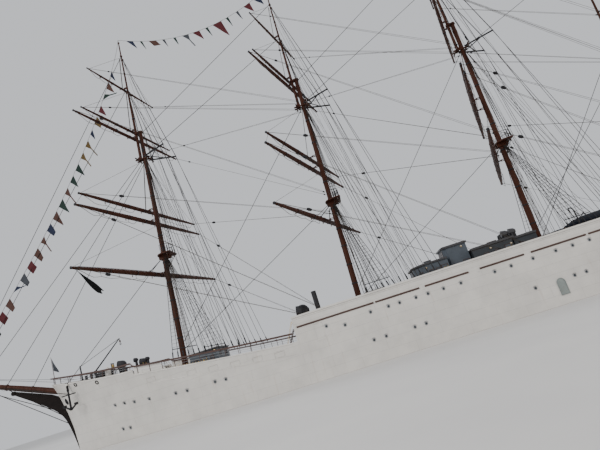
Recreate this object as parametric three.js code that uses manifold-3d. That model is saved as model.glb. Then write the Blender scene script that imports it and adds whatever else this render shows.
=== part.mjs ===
// Four-masted barque, a 1:10 scale model of a ship that is 111 m long over the bowsprit.
// X points to the bow, Y to port and Z up. The origin is at the waterline, on the centreline amidships.
// Sizes are metres of the full-size ship, turned into millimetres of the model by M.
import * as THREE from "three";
import { mergeVertices } from "three/addons/utils/BufferGeometryUtils.js";
import Module from "manifold-3d";

const wasm = await Module();
wasm.setup();

// One metre of the full-size ship, in millimetres of the model.
const M = 100;
// The gap between pieces that touch, and the clearance round a pin, both in metres of the ship.
const GAP = 0.004;
const PIN_CLEARANCE = 0.005;

// Finishes.
const paint = (color, roughness, metalness = 0) =>
  new THREE.MeshStandardMaterial({ color, roughness, metalness });
const WHITE = paint(0xd9d6cf, 0.5);
const SPAR = paint(0x8a4d2a, 0.6);
const RAIL = paint(0x3a211a, 0.5);
const TEAK = paint(0x9a8263, 0.8);
const HOUSE = paint(0x8f979c, 0.6);
const IRON = paint(0x1d1e20, 0.6, 0.5);
const BRONZE = paint(0x5b3b20, 0.5);
const COVER = paint(0x2b3550, 0.9);
const CLOTH = paint(0x5a5f70, 0.9);

// The hull's frames from the taffrail to the stem. Columns: place along the keel, lowest point, top of the
// bilge's turn, half breadth there, half breadth at the rail, and how square the bilge is.
const FRAMES = [
  [-48.7, 4.6, 6.2, 2.4, 2.7, 2.0],
  [-47.2, 3.4, 5.2, 4.0, 4.3, 2.0],
  [-44.5, 1.9, 3.8, 5.1, 5.4, 1.9],
  [-41.05, 0.6, 2.6, 5.8, 6.0, 1.8],
  [-40.9, -4.7, 2.5, 5.8, 6.0, 0.62],
  [-36.0, -4.7, 1.5, 6.3, 6.5, 0.9],
  [-30.0, -4.7, 0.6, 6.7, 6.8, 1.5],
  [-20.0, -4.7, 0.0, 6.9, 6.9, 2.6],
  [0.0, -4.7, 0.0, 6.9, 6.9, 3.6],
  [15.0, -4.7, 0.0, 6.85, 6.9, 3.2],
  [26.0, -4.7, 0.2, 6.3, 6.8, 2.2],
  [33.0, -4.7, 0.4, 5.1, 6.5, 1.6],
  [38.5, -4.7, 0.6, 3.6, 5.7, 1.3],
  [42.5, -4.7, 0.8, 2.2, 4.4, 1.2],
  [45.2, -4.7, 1.0, 1.1, 2.7, 1.15],
  [46.9, -4.6, 1.2, 0.14, 0.3, 1.1],
];
const BILGE_STEPS = 6;
const SIDE_STEPS = 4;
const SIDE_CURVE = 1.5;
const KEEL_HALF = 0.2;

// The stem rakes forward above the water and the forefoot is cut away below it.
const STEM_START = 30;
const STEM_FOOT = 46.9;
const STEM_RAKE = 0.0243;
const FOREFOOT = 0.17;

// The breaks of the poop and the forecastle, with the heights of the decks below the rail.
const POOP_BREAK = 15.65;
const FORECASTLE_BREAK = 35.2;
const TAFFRAIL = -48.7;
const POOP_BULWARK = 1.1;
const WELL_BULWARK = 1.3;
const FORECASTLE_BULWARK = 0.3;
const SHELL = 0.12;
const DECK_THICKNESS = 0.06;

// The square-rigged masts. Columns: name, place along the ship at the height of MAST_FOOT, rake aft and
// the yards' turn in degrees, and how much higher than the fore mast's gear its own stands.
const MAST_FOOT = 7;
const MASTS = [
  { name: "fore", x: 31.15, rake: 2.73, brace: 12.1, lift: 0 },
  { name: "main", x: 7.47, rake: 2.39, brace: 16.7, lift: -0.23 },
  { name: "mizzen", x: -16.01, rake: 1.42, brace: 18.0, lift: 0.02 },
];
const JIGGER = { name: "jigger", x: -34.85, rake: 1.8, lift: 0 };
const POLE = { foot: 0.4, head: 0.27, top: 39.75, sides: 10 };
const TOP = { z: 21.2, aft: 1.3, length: 2.1, width: 3.0, thickness: 0.14 };
const CROSSTREES = { z: 35.5, length: 2.1, width: 3.6, fore_width: 2.3, beam: 0.16 };
// The outriggers spread the backstays aft of the crosstrees.
const OUTRIGGER = { root: 0.14, root_y: 0.8, tip: 3.75, tip_y: 2.5, r: 0.07 };
const OUTRIGGER_BRACE = { root: 0.5, tip: 2.3, r: 0.04 };
const CAP = { z: 39.62, height: 0.24, wall: 0.12 };
const TOPGALLANT = { heel: 35.75, truck: 54.8, ahead: 0.62, foot: 0.21, head: 0.08, sides: 8 };

// The yards of each square-rigged mast. Columns: name, height, half length, radius in the middle, and how
// far ahead of the mast's own axis the truss pin stands.
const YARD_AHEAD = 1.36;
const YARDS = [
  { name: "course", z: 18.94, half: 15.85, r: 0.33, pin: 0.72 },
  { name: "lower_topsail", z: 26.45, half: 13.8, r: 0.3, pin: 0.72 },
  { name: "upper_topsail", z: 28.01, half: 12.89, r: 0.27, pin: 0.72 },
  { name: "lower_topgallant", z: 39.22, half: 11.49, r: 0.24, pin: 0.98 },
  { name: "upper_topgallant", z: 40.31, half: 9.93, r: 0.2, pin: 0.98 },
  { name: "royal", z: 47.16, half: 7.44, r: 0.16, pin: 0.98 },
];
const TRUSS = { plate: 0.05, lug: 0.12, width: 0.18, pin: 0.05 };

// The bowsprit, from its heel inside the bow to its cap.
const BOWSPRIT = { heel: 45.2, tip: 62, at: 49.05, z: 8.5, slope: 0.366, foot: 0.42, head: 0.2 };
const JACKSTAFF = { x: 48.65, top: 12.8, r: 0.05 };

const v = (x, y, z) => new THREE.Vector3(x * M, y * M, z * M);
const rad = THREE.MathUtils.degToRad;

// A closed mesh as a solid that can be joined and cut.
function solidOf(geometry) {
  const bare = geometry.clone();
  bare.deleteAttribute("normal");
  bare.deleteAttribute("uv");
  const merged = mergeVertices(bare, 1e-3);
  const triVerts = new Uint32Array(merged.index.array);
  const vertProperties = new Float32Array(merged.attributes.position.array);
  return new wasm.Manifold(new wasm.Mesh({ numProp: 3, vertProperties, triVerts }));
}

function geometryOf(solid) {
  const { vertProperties, triVerts } = solid.getMesh();
  const geometry = new THREE.BufferGeometry();
  geometry.setAttribute("position", new THREE.BufferAttribute(vertProperties, 3));
  geometry.setIndex(new THREE.BufferAttribute(triVerts, 1));
  geometry.computeVertexNormals();
  return geometry;
}

const joined = (solids) => solids.reduce((all, next) => all.add(next));

// A solid through rings of points that all have the same number of points.
function loft(rings) {
  const count = rings[0].length;
  const position = rings.flat().flatMap((p) => [p.x, p.y, p.z]);
  const index = [];
  for (let i = 0; i + 1 < rings.length; i++) {
    for (let k = 0; k < count; k++) {
      const a = i * count + k;
      const b = i * count + ((k + 1) % count);
      index.push(a, b, a + count, b, b + count, a + count);
    }
  }
  const last = (rings.length - 1) * count;
  for (let k = 1; k + 1 < count; k++) {
    index.push(0, k + 1, k);
    index.push(last, last + k, last + k + 1);
  }
  const geometry = new THREE.BufferGeometry();
  geometry.setAttribute("position", new THREE.Float32BufferAttribute(position, 3));
  geometry.setIndex(index);
  const solid = solidOf(geometry);
  if (solid.volume() > 0) return solid;
  geometry.setIndex(index.reverse());
  return solidOf(geometry);
}

function box(x, y, z, length, width, height) {
  const geometry = new THREE.BoxGeometry(length * M, width * M, height * M);
  return solidOf(geometry.translate(x * M, y * M, z * M));
}

// A round bar from one point to another. Each step of its profile is a share of its length and a radius.
function turned(from, to, profile, sides = 8) {
  const along = new THREE.Vector3().subVectors(to, from);
  const turn = new THREE.Quaternion().setFromUnitVectors(
    new THREE.Vector3(0, 0, 1),
    along.clone().normalize(),
  );
  const rings = profile.map(([share, r]) =>
    Array.from({ length: sides }, (_, k) => {
      const a = ((k + 0.5) / sides) * 2 * Math.PI;
      const rim = new THREE.Vector3(Math.cos(a) * r * M, Math.sin(a) * r * M, 0).applyQuaternion(turn);
      return rim.add(from).addScaledVector(along, share);
    }),
  );
  return loft(rings);
}

function bar(from, to, r0, r1, sides = 8) {
  return turned(from, to, [[0, r0], [1, r1]], sides);
}

function upright(x, y, z0, z1, r0, r1 = r0, sides = 8) {
  return bar(v(x, y, z0), v(x, y, z1), r0, r1, sides);
}

// How far the flats of a bar lie from its axis.
const flat = (r, sides) => r * Math.cos(Math.PI / sides);

// The tool that bores a hole whose flats stand clear of a round bar.
function drill(from, to, r, clearance = PIN_CLEARANCE, sides = 8) {
  const wide = (r + clearance) / Math.cos(Math.PI / sides);
  return bar(from, to, wide, wide, sides);
}

// A flat plate cut to a shape in the XZ plane, or in the XY plane.
function plateXZ(shape, y, thickness) {
  const settings = { depth: thickness * M, bevelEnabled: false, curveSegments: 6 };
  const geometry = new THREE.ExtrudeGeometry(shape, settings);
  geometry.rotateX(Math.PI / 2);
  return solidOf(geometry.translate(0, (y + thickness / 2) * M, 0));
}

function plateXY(shape, z, thickness) {
  const settings = { depth: thickness * M, bevelEnabled: false, curveSegments: 8 };
  const geometry = new THREE.ExtrudeGeometry(shape, settings);
  return solidOf(geometry.translate(0, 0, z * M));
}

// A strip of rectangular section that follows a line of points.
function strip(points, width, height) {
  const rings = points.map((p, i) => {
    const before = points[Math.max(i - 1, 0)];
    const after = points[Math.min(i + 1, points.length - 1)];
    const side = new THREE.Vector3(before.y - after.y, after.x - before.x, 0).setLength((width / 2) * M);
    const up = new THREE.Vector3(0, 0, (height / 2) * M);
    return [
      p.clone().add(side).add(up),
      p.clone().sub(side).add(up),
      p.clone().sub(side).sub(up),
      p.clone().add(side).sub(up),
    ];
  });
  return loft(rings);
}

const group = new THREE.Group();
group.name = "barque";

function add(name, material, solid, at = new THREE.Vector3()) {
  const geometry = geometryOf(solid);
  geometry.translate(-at.x, -at.y, -at.z);
  const mesh = new THREE.Mesh(geometry, material);
  mesh.name = name;
  mesh.position.copy(at);
  group.add(mesh);
  return mesh;
}

// The value of one column of the frame table at any place, on a smooth curve through its rows.
function column(s, c) {
  const rows = FRAMES;
  let i = rows.findIndex((row) => row[0] > s) - 1;
  if (i < 0) i = s <= rows[0][0] ? 0 : rows.length - 2;
  const slope = (k) => {
    const a = rows[Math.max(k - 1, 0)];
    const b = rows[Math.min(k + 1, rows.length - 1)];
    return (b[c] - a[c]) / (b[0] - a[0]);
  };
  const span = rows[i + 1][0] - rows[i][0];
  const t = (s - rows[i][0]) / span;
  // The sternpost is a sharp step, so its two frames are joined by a straight line.
  const sharp = (k) => (rows[k][0] > -42 && rows[k][0] < -40 ? 0 : slope(k));
  if (span < 1) return rows[i][c] + (rows[i + 1][c] - rows[i][c]) * t;
  const m0 = sharp(i) * span;
  const m1 = sharp(i + 1) * span;
  return (
    (2 * t ** 3 - 3 * t ** 2 + 1) * rows[i][c] +
    (t ** 3 - 2 * t ** 2 + t) * m0 +
    (-2 * t ** 3 + 3 * t ** 2) * rows[i + 1][c] +
    (t ** 3 - t ** 2) * m1
  );
}

// The height of the hull's edge.
function edge(s) {
  if (s < POOP_BREAK) return 7.45 + (s < -20 ? 0.95 * ((-20 - s) / 28.7) ** 2 : 0);
  const d = s - POOP_BREAK;
  if (s < FORECASTLE_BREAK) return 4.86 + 0.088 * d + 0.0012 * d ** 2;
  return 7.55 + 1.75 * ((s - FORECASTLE_BREAK) / 11.7) ** 1.5;
}

// How far the bow's rake moves a point of a frame forward.
function rakeAt(s, z) {
  const share = THREE.MathUtils.clamp((s - STEM_START) / (STEM_FOOT - STEM_START), 0, 1) ** 2;
  return share * (z > 0 ? STEM_RAKE * z ** 2 : -FOREFOOT * z ** 2);
}

// The half breadth of a frame above the bilge, at a height.
function halfBreadth(s, z) {
  const bilge = column(s, 2);
  const u = THREE.MathUtils.clamp((z - bilge) / (edge(s) - bilge), 0, 1);
  return column(s, 3) + (column(s, 4) - column(s, 3)) * u ** SIDE_CURVE;
}

// A point at the ship's side, moved inward and up from the hull's edge.
function side(s, z, inward, hand) {
  return v(s + rakeAt(s, z), hand * Math.max(halfBreadth(s, z) - inward, 0.02), z);
}

const HULL_PLACES = [
  -48.7, -48.3, -47.7, -46.8, -45.6, -44, -42.4, -41.05, -40.9, -39.5, -38, -36, -33.5, -30, -25, -19, -10,
  0, 8, 15.63, 15.67, 20, 24, 27.5, 30.5, 33, 35.18, 35.22, 37, 39, 41, 42.8, 44.2, 45.3, 46.2, 46.9,
];

function frameRing(s) {
  const [keel, bilge, wide] = [1, 2, 3].map((c) => column(s, c));
  const power = 2 / column(s, 5);
  const half = [];
  for (let k = 0; k <= BILGE_STEPS; k++) {
    const a = (k / BILGE_STEPS) * (Math.PI / 2);
    const y = Math.max(wide * Math.sin(a) ** power, Math.min(KEEL_HALF, wide));
    half.push([y, bilge + (keel - bilge) * Math.max(Math.cos(a), 0) ** power]);
  }
  const top = edge(s);
  for (let k = 1; k <= SIDE_STEPS; k++) {
    const z = bilge + ((top - bilge) * k) / SIDE_STEPS;
    half.push([halfBreadth(s, z), z]);
  }
  const port = half.map(([y, z]) => v(s + rakeAt(s, z), y, z));
  const starboard = half.map(([y, z]) => v(s + rakeAt(s, z), -y, z));
  return [...port, ...starboard.reverse()];
}

// A block that fills the space inside the bulwarks over a stretch of deck.
function deckBlock(from, to, depth, floor, roof, inward) {
  const places = HULL_PLACES.filter((s) => s > from && s < to);
  const rings = [from, ...places, to].map((s) => {
    const z = edge(s) - depth;
    const port = side(s, z, inward, 1);
    const starboard = side(s, z, inward, -1);
    const rise = (p, dz) => p.clone().add(new THREE.Vector3(0, 0, dz * M));
    return [rise(port, floor), rise(port, roof), rise(starboard, roof), rise(starboard, floor)];
  });
  return loft(rings);
}

// The decks. Columns: where the planks begin and end, where the open space over them does, and how far
// they lie below the hull's edge.
const DECKS = {
  poop: {
    from: TAFFRAIL + 0.4,
    to: POOP_BREAK - 0.02,
    open: [TAFFRAIL + 0.4, POOP_BREAK + 0.18],
    depth: POOP_BULWARK,
  },
  well: {
    from: POOP_BREAK + 0.15,
    to: FORECASTLE_BREAK - 0.15,
    open: [POOP_BREAK + 0.15, FORECASTLE_BREAK - 0.15],
    depth: WELL_BULWARK,
  },
  forecastle: {
    from: FORECASTLE_BREAK + 0.02,
    to: 46.0,
    open: [FORECASTLE_BREAK - 0.08, 46.0],
    depth: FORECASTLE_BULWARK,
  },
};
const ROOF = 4;

// The bulwarks beside the poop and the well. Between them the hull's own corner posts reach the rail.
const BULWARKS = {
  poop: { from: TAFFRAIL - 0.7, to: 15.3 },
  well: { from: 16.15, to: 34.7 },
};
const OUTSIDE = -1.5;

function deckSpace({ open, depth }) {
  return deckBlock(open[0], open[1], depth, 0, ROOF, SHELL);
}

function bulwarkSpace(name, trim) {
  const { from, to } = BULWARKS[name];
  return deckBlock(from + trim, to - trim, DECKS[name].depth, trim, ROOF, OUTSIDE);
}

// The frame whose edge stands at a place, once the bow's rake has moved it.
function frameAt(x) {
  let s = x;
  for (let i = 0; i < 12; i++) s = x - rakeAt(s, edge(s));
  return s;
}

function deckTop(x) {
  const s = frameAt(x);
  const depth = s < POOP_BREAK ? POOP_BULWARK : s < FORECASTLE_BREAK ? WELL_BULWARK : FORECASTLE_BULWARK;
  return edge(s) - depth + DECK_THICKNESS;
}

// The derrick on the forecastle.
const DERRICK = { x: 41.45, y: 3.0, z: 9.0, reach: 3.9, rise: 3.0 };
const DERRICK_POST = { x: 43.25, top: 10.2 };

const sprit = (x) => v(x, 0, BOWSPRIT.z + (x - BOWSPRIT.at) * BOWSPRIT.slope);

// The rudder and its trunk.
const RUDDER = { x: -41.35, foot: -4.35, head: 0.2, stock: 0.18, chord: 2.2, trunk: 2.2 };
const TRUNK_CLEARANCE = 0.05;

// A cathead on each bow carries its anchor.
const CATHEAD = { x: 44.9, z: 8.45, beam: 0.26, root: 3.6, reach: 3.8 };

const shell = loft(HULL_PLACES.map(frameRing));

function hull() {
  let body = shell;
  for (const deck of Object.values(DECKS)) body = body.subtract(deckSpace(deck));
  for (const name of Object.keys(BULWARKS)) body = body.subtract(bulwarkSpace(name, 0));
  const socket = drill(sprit(BOWSPRIT.heel - GAP), sprit(BOWSPRIT.tip), BOWSPRIT.foot, GAP, 10);
  const trunk = drill(v(RUDDER.x, 0, -1), v(RUDDER.x, 0, RUDDER.trunk), RUDDER.stock, TRUNK_CLEARANCE);
  const staff = drill(v(JACKSTAFF.x, 0, BOWSPRIT.z), v(JACKSTAFF.x, 0, JACKSTAFF.top), JACKSTAFF.r, GAP);
  body = body.subtract(socket).subtract(trunk).subtract(staff);
  const shoe = box(RUDDER.x + 0.2, 0, RUDDER.foot - 0.17, 1.6, KEEL_HALF * 2, 0.3);
  const { x, z, beam, root, reach } = CATHEAD;
  const out = reach + 0.15;
  const catheads = [1, -1].map((hand) => box(x, (hand * (root + out)) / 2, z, beam, out - root, beam));
  return joined([body, shoe, ...catheads]);
}
const hullSolid = hull();
add("hull", WHITE, hullSolid);

const HANDS = { port: 1, starboard: -1 };

// The part of a solid that lies on one side of the ship.
function onSide(solid, hand) {
  const reach = 100;
  return solid.intersect(box(0, hand * (reach / 2 + GAP / 2), 0, reach * 2, reach, reach * 2));
}

for (const name of Object.keys(BULWARKS)) {
  const wall = shell.intersect(bulwarkSpace(name, GAP)).subtract(deckSpace(DECKS[name]));
  for (const [hand, sign] of Object.entries(HANDS)) {
    add(`bulwark_${name}_${hand}`, WHITE, onSide(wall, sign));
  }
}

function rudder() {
  const { x, foot, head, stock, chord, trunk } = RUDDER;
  const blade = new THREE.Shape();
  blade.moveTo(x * M, (foot + 0.02) * M);
  blade.lineTo((x - chord * 0.8) * M, (foot + 0.02) * M);
  const heel = { x: x - chord * 1.15, z: foot + 1.6 };
  const shoulder = { x: x - chord * 0.75, z: head - 1.2 };
  blade.quadraticCurveTo(heel.x * M, heel.z * M, shoulder.x * M, shoulder.z * M);
  blade.lineTo((x - 0.1) * M, head * M);
  blade.lineTo(x * M, head * M);
  const post = upright(x, 0, foot - 0.02 + GAP, trunk - 0.05, stock);
  return plateXZ(blade, 0, 0.22).add(post);
}
add("rudder", WHITE, rudder(), v(RUDDER.x, 0, 0));

// The knee of the head below the bowsprit, with its scroll.
function cutwater() {
  const stem = (z) => (STEM_FOOT + STEM_RAKE * z ** 2) * M;
  const under = (x) => (BOWSPRIT.z + (x - BOWSPRIT.at) * BOWSPRIT.slope - 0.5) * M;
  const shape = new THREE.Shape();
  shape.moveTo(stem(0.4), 0.4 * M);
  shape.splineThru([
    new THREE.Vector2(47.6 * M, 3.3 * M),
    new THREE.Vector2(48.5 * M, 5.25 * M),
    new THREE.Vector2(50.4 * M, 6.9 * M),
    new THREE.Vector2(54.3 * M, 9.45 * M),
  ]);
  shape.lineTo(54.7 * M, under(54.7));
  shape.lineTo(49.4 * M, under(49.4));
  for (const z of [7.4, 6, 4.5, 3, 1.6, 0.4]) shape.lineTo(stem(z) - 0.1 * M, z * M);
  const scroll = bar(v(54.5, -0.2, 9.75), v(54.5, 0.2, 9.75), 0.28, 0.28, 10);
  const bow = solidOf(geometryOf(hullSolid).translate(GAP * M, 0, 0));
  return plateXZ(shape, 0, 0.26).add(scroll).subtract(bow);
}
add("cutwater", BRONZE, cutwater());

function bowsprit() {
  const { heel, tip, foot, head } = BOWSPRIT;
  const parts = [turned(sprit(heel), sprit(tip), [[0, foot], [0.45, foot * 0.92], [1, head]], 10)];
  const bands = [51.8, 55.2, 59.0, 61.4];
  for (const x of bands) parts.push(bar(sprit(x), sprit(x + 0.22), foot, foot * 0.9, 10));
  const { x, top, r } = JACKSTAFF;
  parts.push(bar(sprit(x), v(x, 0, top), r, r / 2, 6));
  return joined(parts);
}
add("bowsprit", SPAR, bowsprit());

// Fittings that stand on the decks. They start below the planks and are trimmed to them.
const SUNK = 0.3;

function bitts(x, y) {
  const z = deckTop(x);
  const posts = [-0.35, 0.35].map((dx) => upright(x + dx, y, z, z + 0.82, 0.16, 0.18));
  return joined([box(x, y, z + 0.1 - SUNK / 2, 1.2, 0.5, SUNK), ...posts]);
}

function cowl(x, y, height, r) {
  const z = deckTop(x);
  const stem = upright(x, y, z - SUNK, z + height, r * 0.62);
  const profile = [[0, r * 0.45], [0.2, r * 0.85], [0.5, r], [1, r * 1.03]];
  return stem.add(turned(v(x - r, y, z + height), v(x + r * 0.95, y, z + height + r * 0.25), profile, 10));
}

function capstan(x, y) {
  const z = deckTop(x);
  return upright(x, y, z - SUNK, z + 0.75, 0.45, 0.3).add(upright(x, y, z + 0.7, z + 0.95, 0.46));
}

// A windlass: a barrel across the deck between two cheeks.
function windlass(x) {
  const z = deckTop(x);
  const barrel = bar(v(x, -1.35, z + 0.62), v(x, 1.35, z + 0.62), 0.34, 0.34, 10);
  const cheeks = [-0.95, 0.95].map((y) => box(x, y, z + 0.4 - SUNK / 2, 1.0, 0.22, 1.1 + SUNK));
  return joined([barrel, ...cheeks]);
}

// A round step on the deck, under a mast or a post.
const PAD = 0.1;
const pad = (x, y, r) => upright(x, y, deckTop(x) - SUNK, deckTop(x) + PAD, r, r, 10);
const padTop = (x) => deckTop(x) + PAD + GAP;

function deck({ from, to, depth }, fittings) {
  const slab = deckBlock(from, to - GAP * 2, depth, GAP, DECK_THICKNESS, SHELL + GAP * 2);
  const below = deckBlock(from - 1, to + 1, depth, -2, GAP, -1);
  return joined([slab, ...fittings]).subtract(below);
}

// A piece that stands on a deck, trimmed to the planks.
function standing({ from, to, depth }, solid) {
  return solid.subtract(deckBlock(from - 1, to + 1, depth, -2, DECK_THICKNESS + GAP, -1));
}

function forecastleDeck() {
  return deck(DECKS.forecastle, [
    pad(DERRICK.x, DERRICK.y, 0.28),
    upright(DERRICK_POST.x, DERRICK.y, deckTop(DERRICK_POST.x) - SUNK, DERRICK_POST.top, 0.11, 0.08),
    windlass(41.7),
    capstan(39.2, 0),
    bitts(43.2, 1.5),
    bitts(43.2, -1.5),
    bitts(37.0, 4.9),
    bitts(37.0, -4.9),
    cowl(37.8, 3.2, 1.25, 0.5),
    cowl(37.8, -3.2, 1.25, 0.5),
    cowl(36.6, 1.8, 1.5, 0.26),
    cowl(36.6, -1.8, 1.5, 0.26),
  ]);
}
add("deck_forecastle", TEAK, forecastleDeck());

const HATCH = { x: 22.5, length: 4.4, width: 4.2, height: 0.8 };

function wellDeck() {
  const { x, length, width, height } = HATCH;
  const hatch = box(x, 0, deckTop(x) + (height - SUNK) / 2, length, width, height + SUNK);
  const { from, to, depth } = DECKS.well;
  const fittings = [hatch, bitts(19, 5.4), bitts(19, -5.4), pad(MASTS[0].x, 0, 0.62)];
  return deck({ from: from + GAP, to: to - GAP, depth }, fittings);
}
add("deck_well", TEAK, wellDeck());

// The helm's pedestal stands abaft the jigger mast.
const HELM = { x: -41.2, z: 8.15, r: 0.95, hub: 0.2, shaft: 0.07 };

function poopDeck() {
  const { from, to, depth } = DECKS.poop;
  const pedestal = box(HELM.x + 0.55, 0, deckTop(HELM.x) + 0.6, 0.5, 0.5, 1.3);
  const shaft = bar(v(HELM.x + 0.5, 0, HELM.z), v(HELM.x - 0.2, 0, HELM.z), HELM.shaft, HELM.shaft, 10);
  const post = box(HELM.x + 0.55, 0, HELM.z - 0.4, 0.36, 0.36, 1.1);
  const skylight = box(-29.5, 0, deckTop(-29.5) + 0.4, 3.0, 2.0, 0.9);
  const steps = [MASTS[1], MASTS[2], JIGGER].map((mast) => pad(mast.x, 0, 0.62));
  return deck({ from: from + GAP * 2, to, depth }, [
    ...steps,
    cowl(14.7, 0.6, 1.8, 0.82),
    upright(12.7, 0.8, deckTop(12.7) - SUNK, 10.35, 0.33),
    bitts(10.5, 5.6),
    bitts(10.5, -5.6),
    bitts(-39, 4.4),
    bitts(-39, -4.4),
    capstan(-36.8, 3.2),
    capstan(-36.8, -3.2),
    skylight,
    pedestal,
    post,
    shaft,
  ]);
}
add("deck_poop", TEAK, poopDeck());

function helm() {
  const { x, z, r, hub, shaft } = HELM;
  const rim = new THREE.TorusGeometry(r * 0.78 * M, 0.05 * M, 4, 16).rotateY(Math.PI / 2);
  let wheel = solidOf(rim.translate(x * M, 0, z * M));
  wheel = wheel.add(bar(v(x + 0.1, 0, z), v(x - 0.1, 0, z), hub, hub, 8));
  for (let k = 0; k < 8; k++) {
    const a = (k / 8) * 2 * Math.PI;
    const tip = v(x, r * Math.cos(a), z + r * Math.sin(a));
    wheel = wheel.add(bar(v(x, 0, z), tip, 0.035, 0.03, 4));
  }
  return wheel.subtract(drill(v(x + 0.5, 0, z), v(x - 0.5, 0, z), shaft));
}
add("helm_wheel", BRONZE, helm(), v(HELM.x, 0, HELM.z));

// The rails: a dark topgallant rail on stanchions along the well and round the forecastle, and a cap on
// the poop's bulwark.
const RAIL_WIDTH = 0.3;
const RAIL_HEIGHT = 0.2;
// The poop's cap stands clear of a bulwark whose edge curves.
const CAP_LIFT = 0.006;
const STANCHION = 0.04;
// A foot stands clear of an edge that slopes under it.
const STANCHION_LIFT = 0.018;

function railTop(s) {
  if (s < FORECASTLE_BREAK) return edge(s) + 0.95 - 0.1 * ((s - POOP_BREAK) / 19.55);
  return edge(s) + 0.75;
}

function railLine(places, height, inward) {
  const port = places.map((s) => side(s, edge(s), inward, 1).setZ(height(s) * M));
  const starboard = places.map((s) => side(s, edge(s), inward, -1).setZ(height(s) * M));
  return [port, starboard];
}

function stanchions(places, height, inward) {
  const posts = [];
  for (const s of places) {
    for (const hand of [1, -1]) {
      const foot = side(s, edge(s), inward, hand);
      const head = foot.clone().setZ(height(s) * M);
      foot.z += STANCHION_LIFT * M;
      posts.push(bar(foot, head, STANCHION, STANCHION, 4));
    }
  }
  return posts;
}

function range(from, to, count) {
  return Array.from({ length: count }, (_, i) => from + ((to - from) * i) / (count - 1));
}

function forwardRail() {
  const inward = SHELL / 2;
  const places = [...range(POOP_BREAK + 0.3, 34.9, 10), ...range(35.3, 46.3, 10), 46.75];
  const [port, starboard] = railLine(places, railTop, inward);
  const bow = v(49.05, 0, railTop(46.9));
  const line = [...port, bow, ...starboard.reverse()];
  const posts = stanchions([...range(16.4, 34.6, 13), ...range(36, 46, 8)], railTop, inward);
  return joined([strip(line, RAIL_WIDTH, RAIL_HEIGHT), ...posts]);
}
const rail = forwardRail();
for (const [hand, sign] of Object.entries(HANDS)) add(`rail_forward_${hand}`, RAIL, onSide(rail, sign));

function poopRail() {
  const cap = (s) => edge(s) + RAIL_HEIGHT / 2 + CAP_LIFT;
  const places = HULL_PLACES.filter((s) => s < POOP_BREAK - 0.01);
  const [port, starboard] = railLine(places, cap, SHELL / 2);
  const line = [...port.reverse(), ...starboard];
  return strip(line, RAIL_WIDTH, RAIL_HEIGHT);
}
add("rail_poop", RAIL, poopRail());

// The houses, as blocks and roof slabs. Columns: the after and the front end, width, floor, top, and how
// much is cut off the front corners.
const HOUSE_FLOOR = deckTop(0) + GAP;
const FORE_HOUSE_FLOOR = deckTop(29.6) + GAP;
const FORE_HOUSE_TOP = FORE_HOUSE_FLOOR + 2.15;
const HOUSES = {
  cabin: [
    { from: -3.95, to: 0.2, width: 6.4, floor: HOUSE_FLOOR, top: 8.95, cut: 1.2 },
    { from: -3.95, to: 0.38, width: 6.76, floor: 8.94, top: 9.12, cut: 1.2 },
  ],
  wheelhouse: [
    { from: -6.9, to: -4.0, width: 4.0, floor: HOUSE_FLOOR, top: 10.2, cut: 0.5 },
    { from: -7.05, to: -3.82, width: 4.36, floor: 10.19, top: 10.4, cut: 0.5 },
  ],
  aft_house: [
    { from: -12.0, to: -7.1, width: 5.6, floor: HOUSE_FLOOR, top: 8.9, cut: 0 },
    { from: -12.3, to: -7.0, width: 5.96, floor: 8.89, top: 9.1, cut: 0 },
    { from: -15.1, to: -12.3, width: 4.6, floor: HOUSE_FLOOR, top: 8.75, cut: 0 },
    { from: -15.15, to: -12.1, width: 4.96, floor: 8.74, top: 8.95, cut: 0 },
    { from: -12.4, to: -11.9, width: 3.0, floor: HOUSE_FLOOR, top: 8.6, cut: 0 },
  ],
  fore_house: [
    { from: 26.0, to: 29.6, width: 5.2, floor: FORE_HOUSE_FLOOR, top: FORE_HOUSE_TOP, cut: 0 },
    { from: 25.8, to: 29.8, width: 5.56, floor: FORE_HOUSE_TOP - 0.01, top: FORE_HOUSE_TOP + 0.15, cut: 0 },
  ],
};

function block({ from, to, width, floor, top, cut }) {
  const half = width / 2;
  const corners = [[from, -half], [to - cut, -half]];
  if (cut > 0) corners.push([to, cut - half], [to, half - cut]);
  corners.push([to - cut, half], [from, half]);
  const shape = new THREE.Shape(corners.map(([x, y]) => new THREE.Vector2(x * M, y * M)));
  return plateXY(shape, floor, top - floor);
}

// Two ventilators on the aft house.
const VENT = { y: 1.0, foot: 8.7, z: 9.75, stem: 0.22, mouth: 0.42 };
const VENTS = [-12.0, -12.95].map((x) => {
  const { y, foot, z, stem, mouth } = VENT;
  const profile = [[0, stem], [0.3, mouth * 0.9], [1, mouth]];
  return upright(x, y, foot, z, stem).add(turned(v(x - mouth, y, z), v(x + mouth, y, z + 0.08), profile));
});

for (const [name, blocks] of Object.entries(HOUSES)) {
  const fittings = name === "aft_house" ? VENTS : [];
  add(name, HOUSE, joined([...blocks.map(block), ...fittings]));
}

// The masts, with trusses for the yards.
const axisX = (mast, z) => mast.x - Math.tan(rad(mast.rake)) * (z - MAST_FOOT);

function yardPin(mast, yard) {
  const z = yard.z + mast.lift;
  return v(axisX(mast, z) + yard.pin, 0, z);
}

const trussEye = (x, z) => upright(x, 0, z - TRUSS.plate / 2, z + TRUSS.plate / 2, TRUSS.width / 2);

function truss(mast, yard, from) {
  const pin = yardPin(mast, yard);
  const [x, z] = [pin.x / M, pin.z / M];
  const inner = axisX(mast, z) + from;
  const reach = x - inner;
  const offset = TRUSS.lug / 2 + PIN_CLEARANCE + TRUSS.plate / 2;
  const parts = [upright(x, 0, z - offset, z + offset, TRUSS.pin, TRUSS.pin, 6)];
  for (const dz of [-offset, offset]) {
    parts.push(box(inner + reach / 2, 0, z + dz, reach, TRUSS.width, TRUSS.plate));
    parts.push(trussEye(x, z + dz));
  }
  return parts;
}

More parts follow.
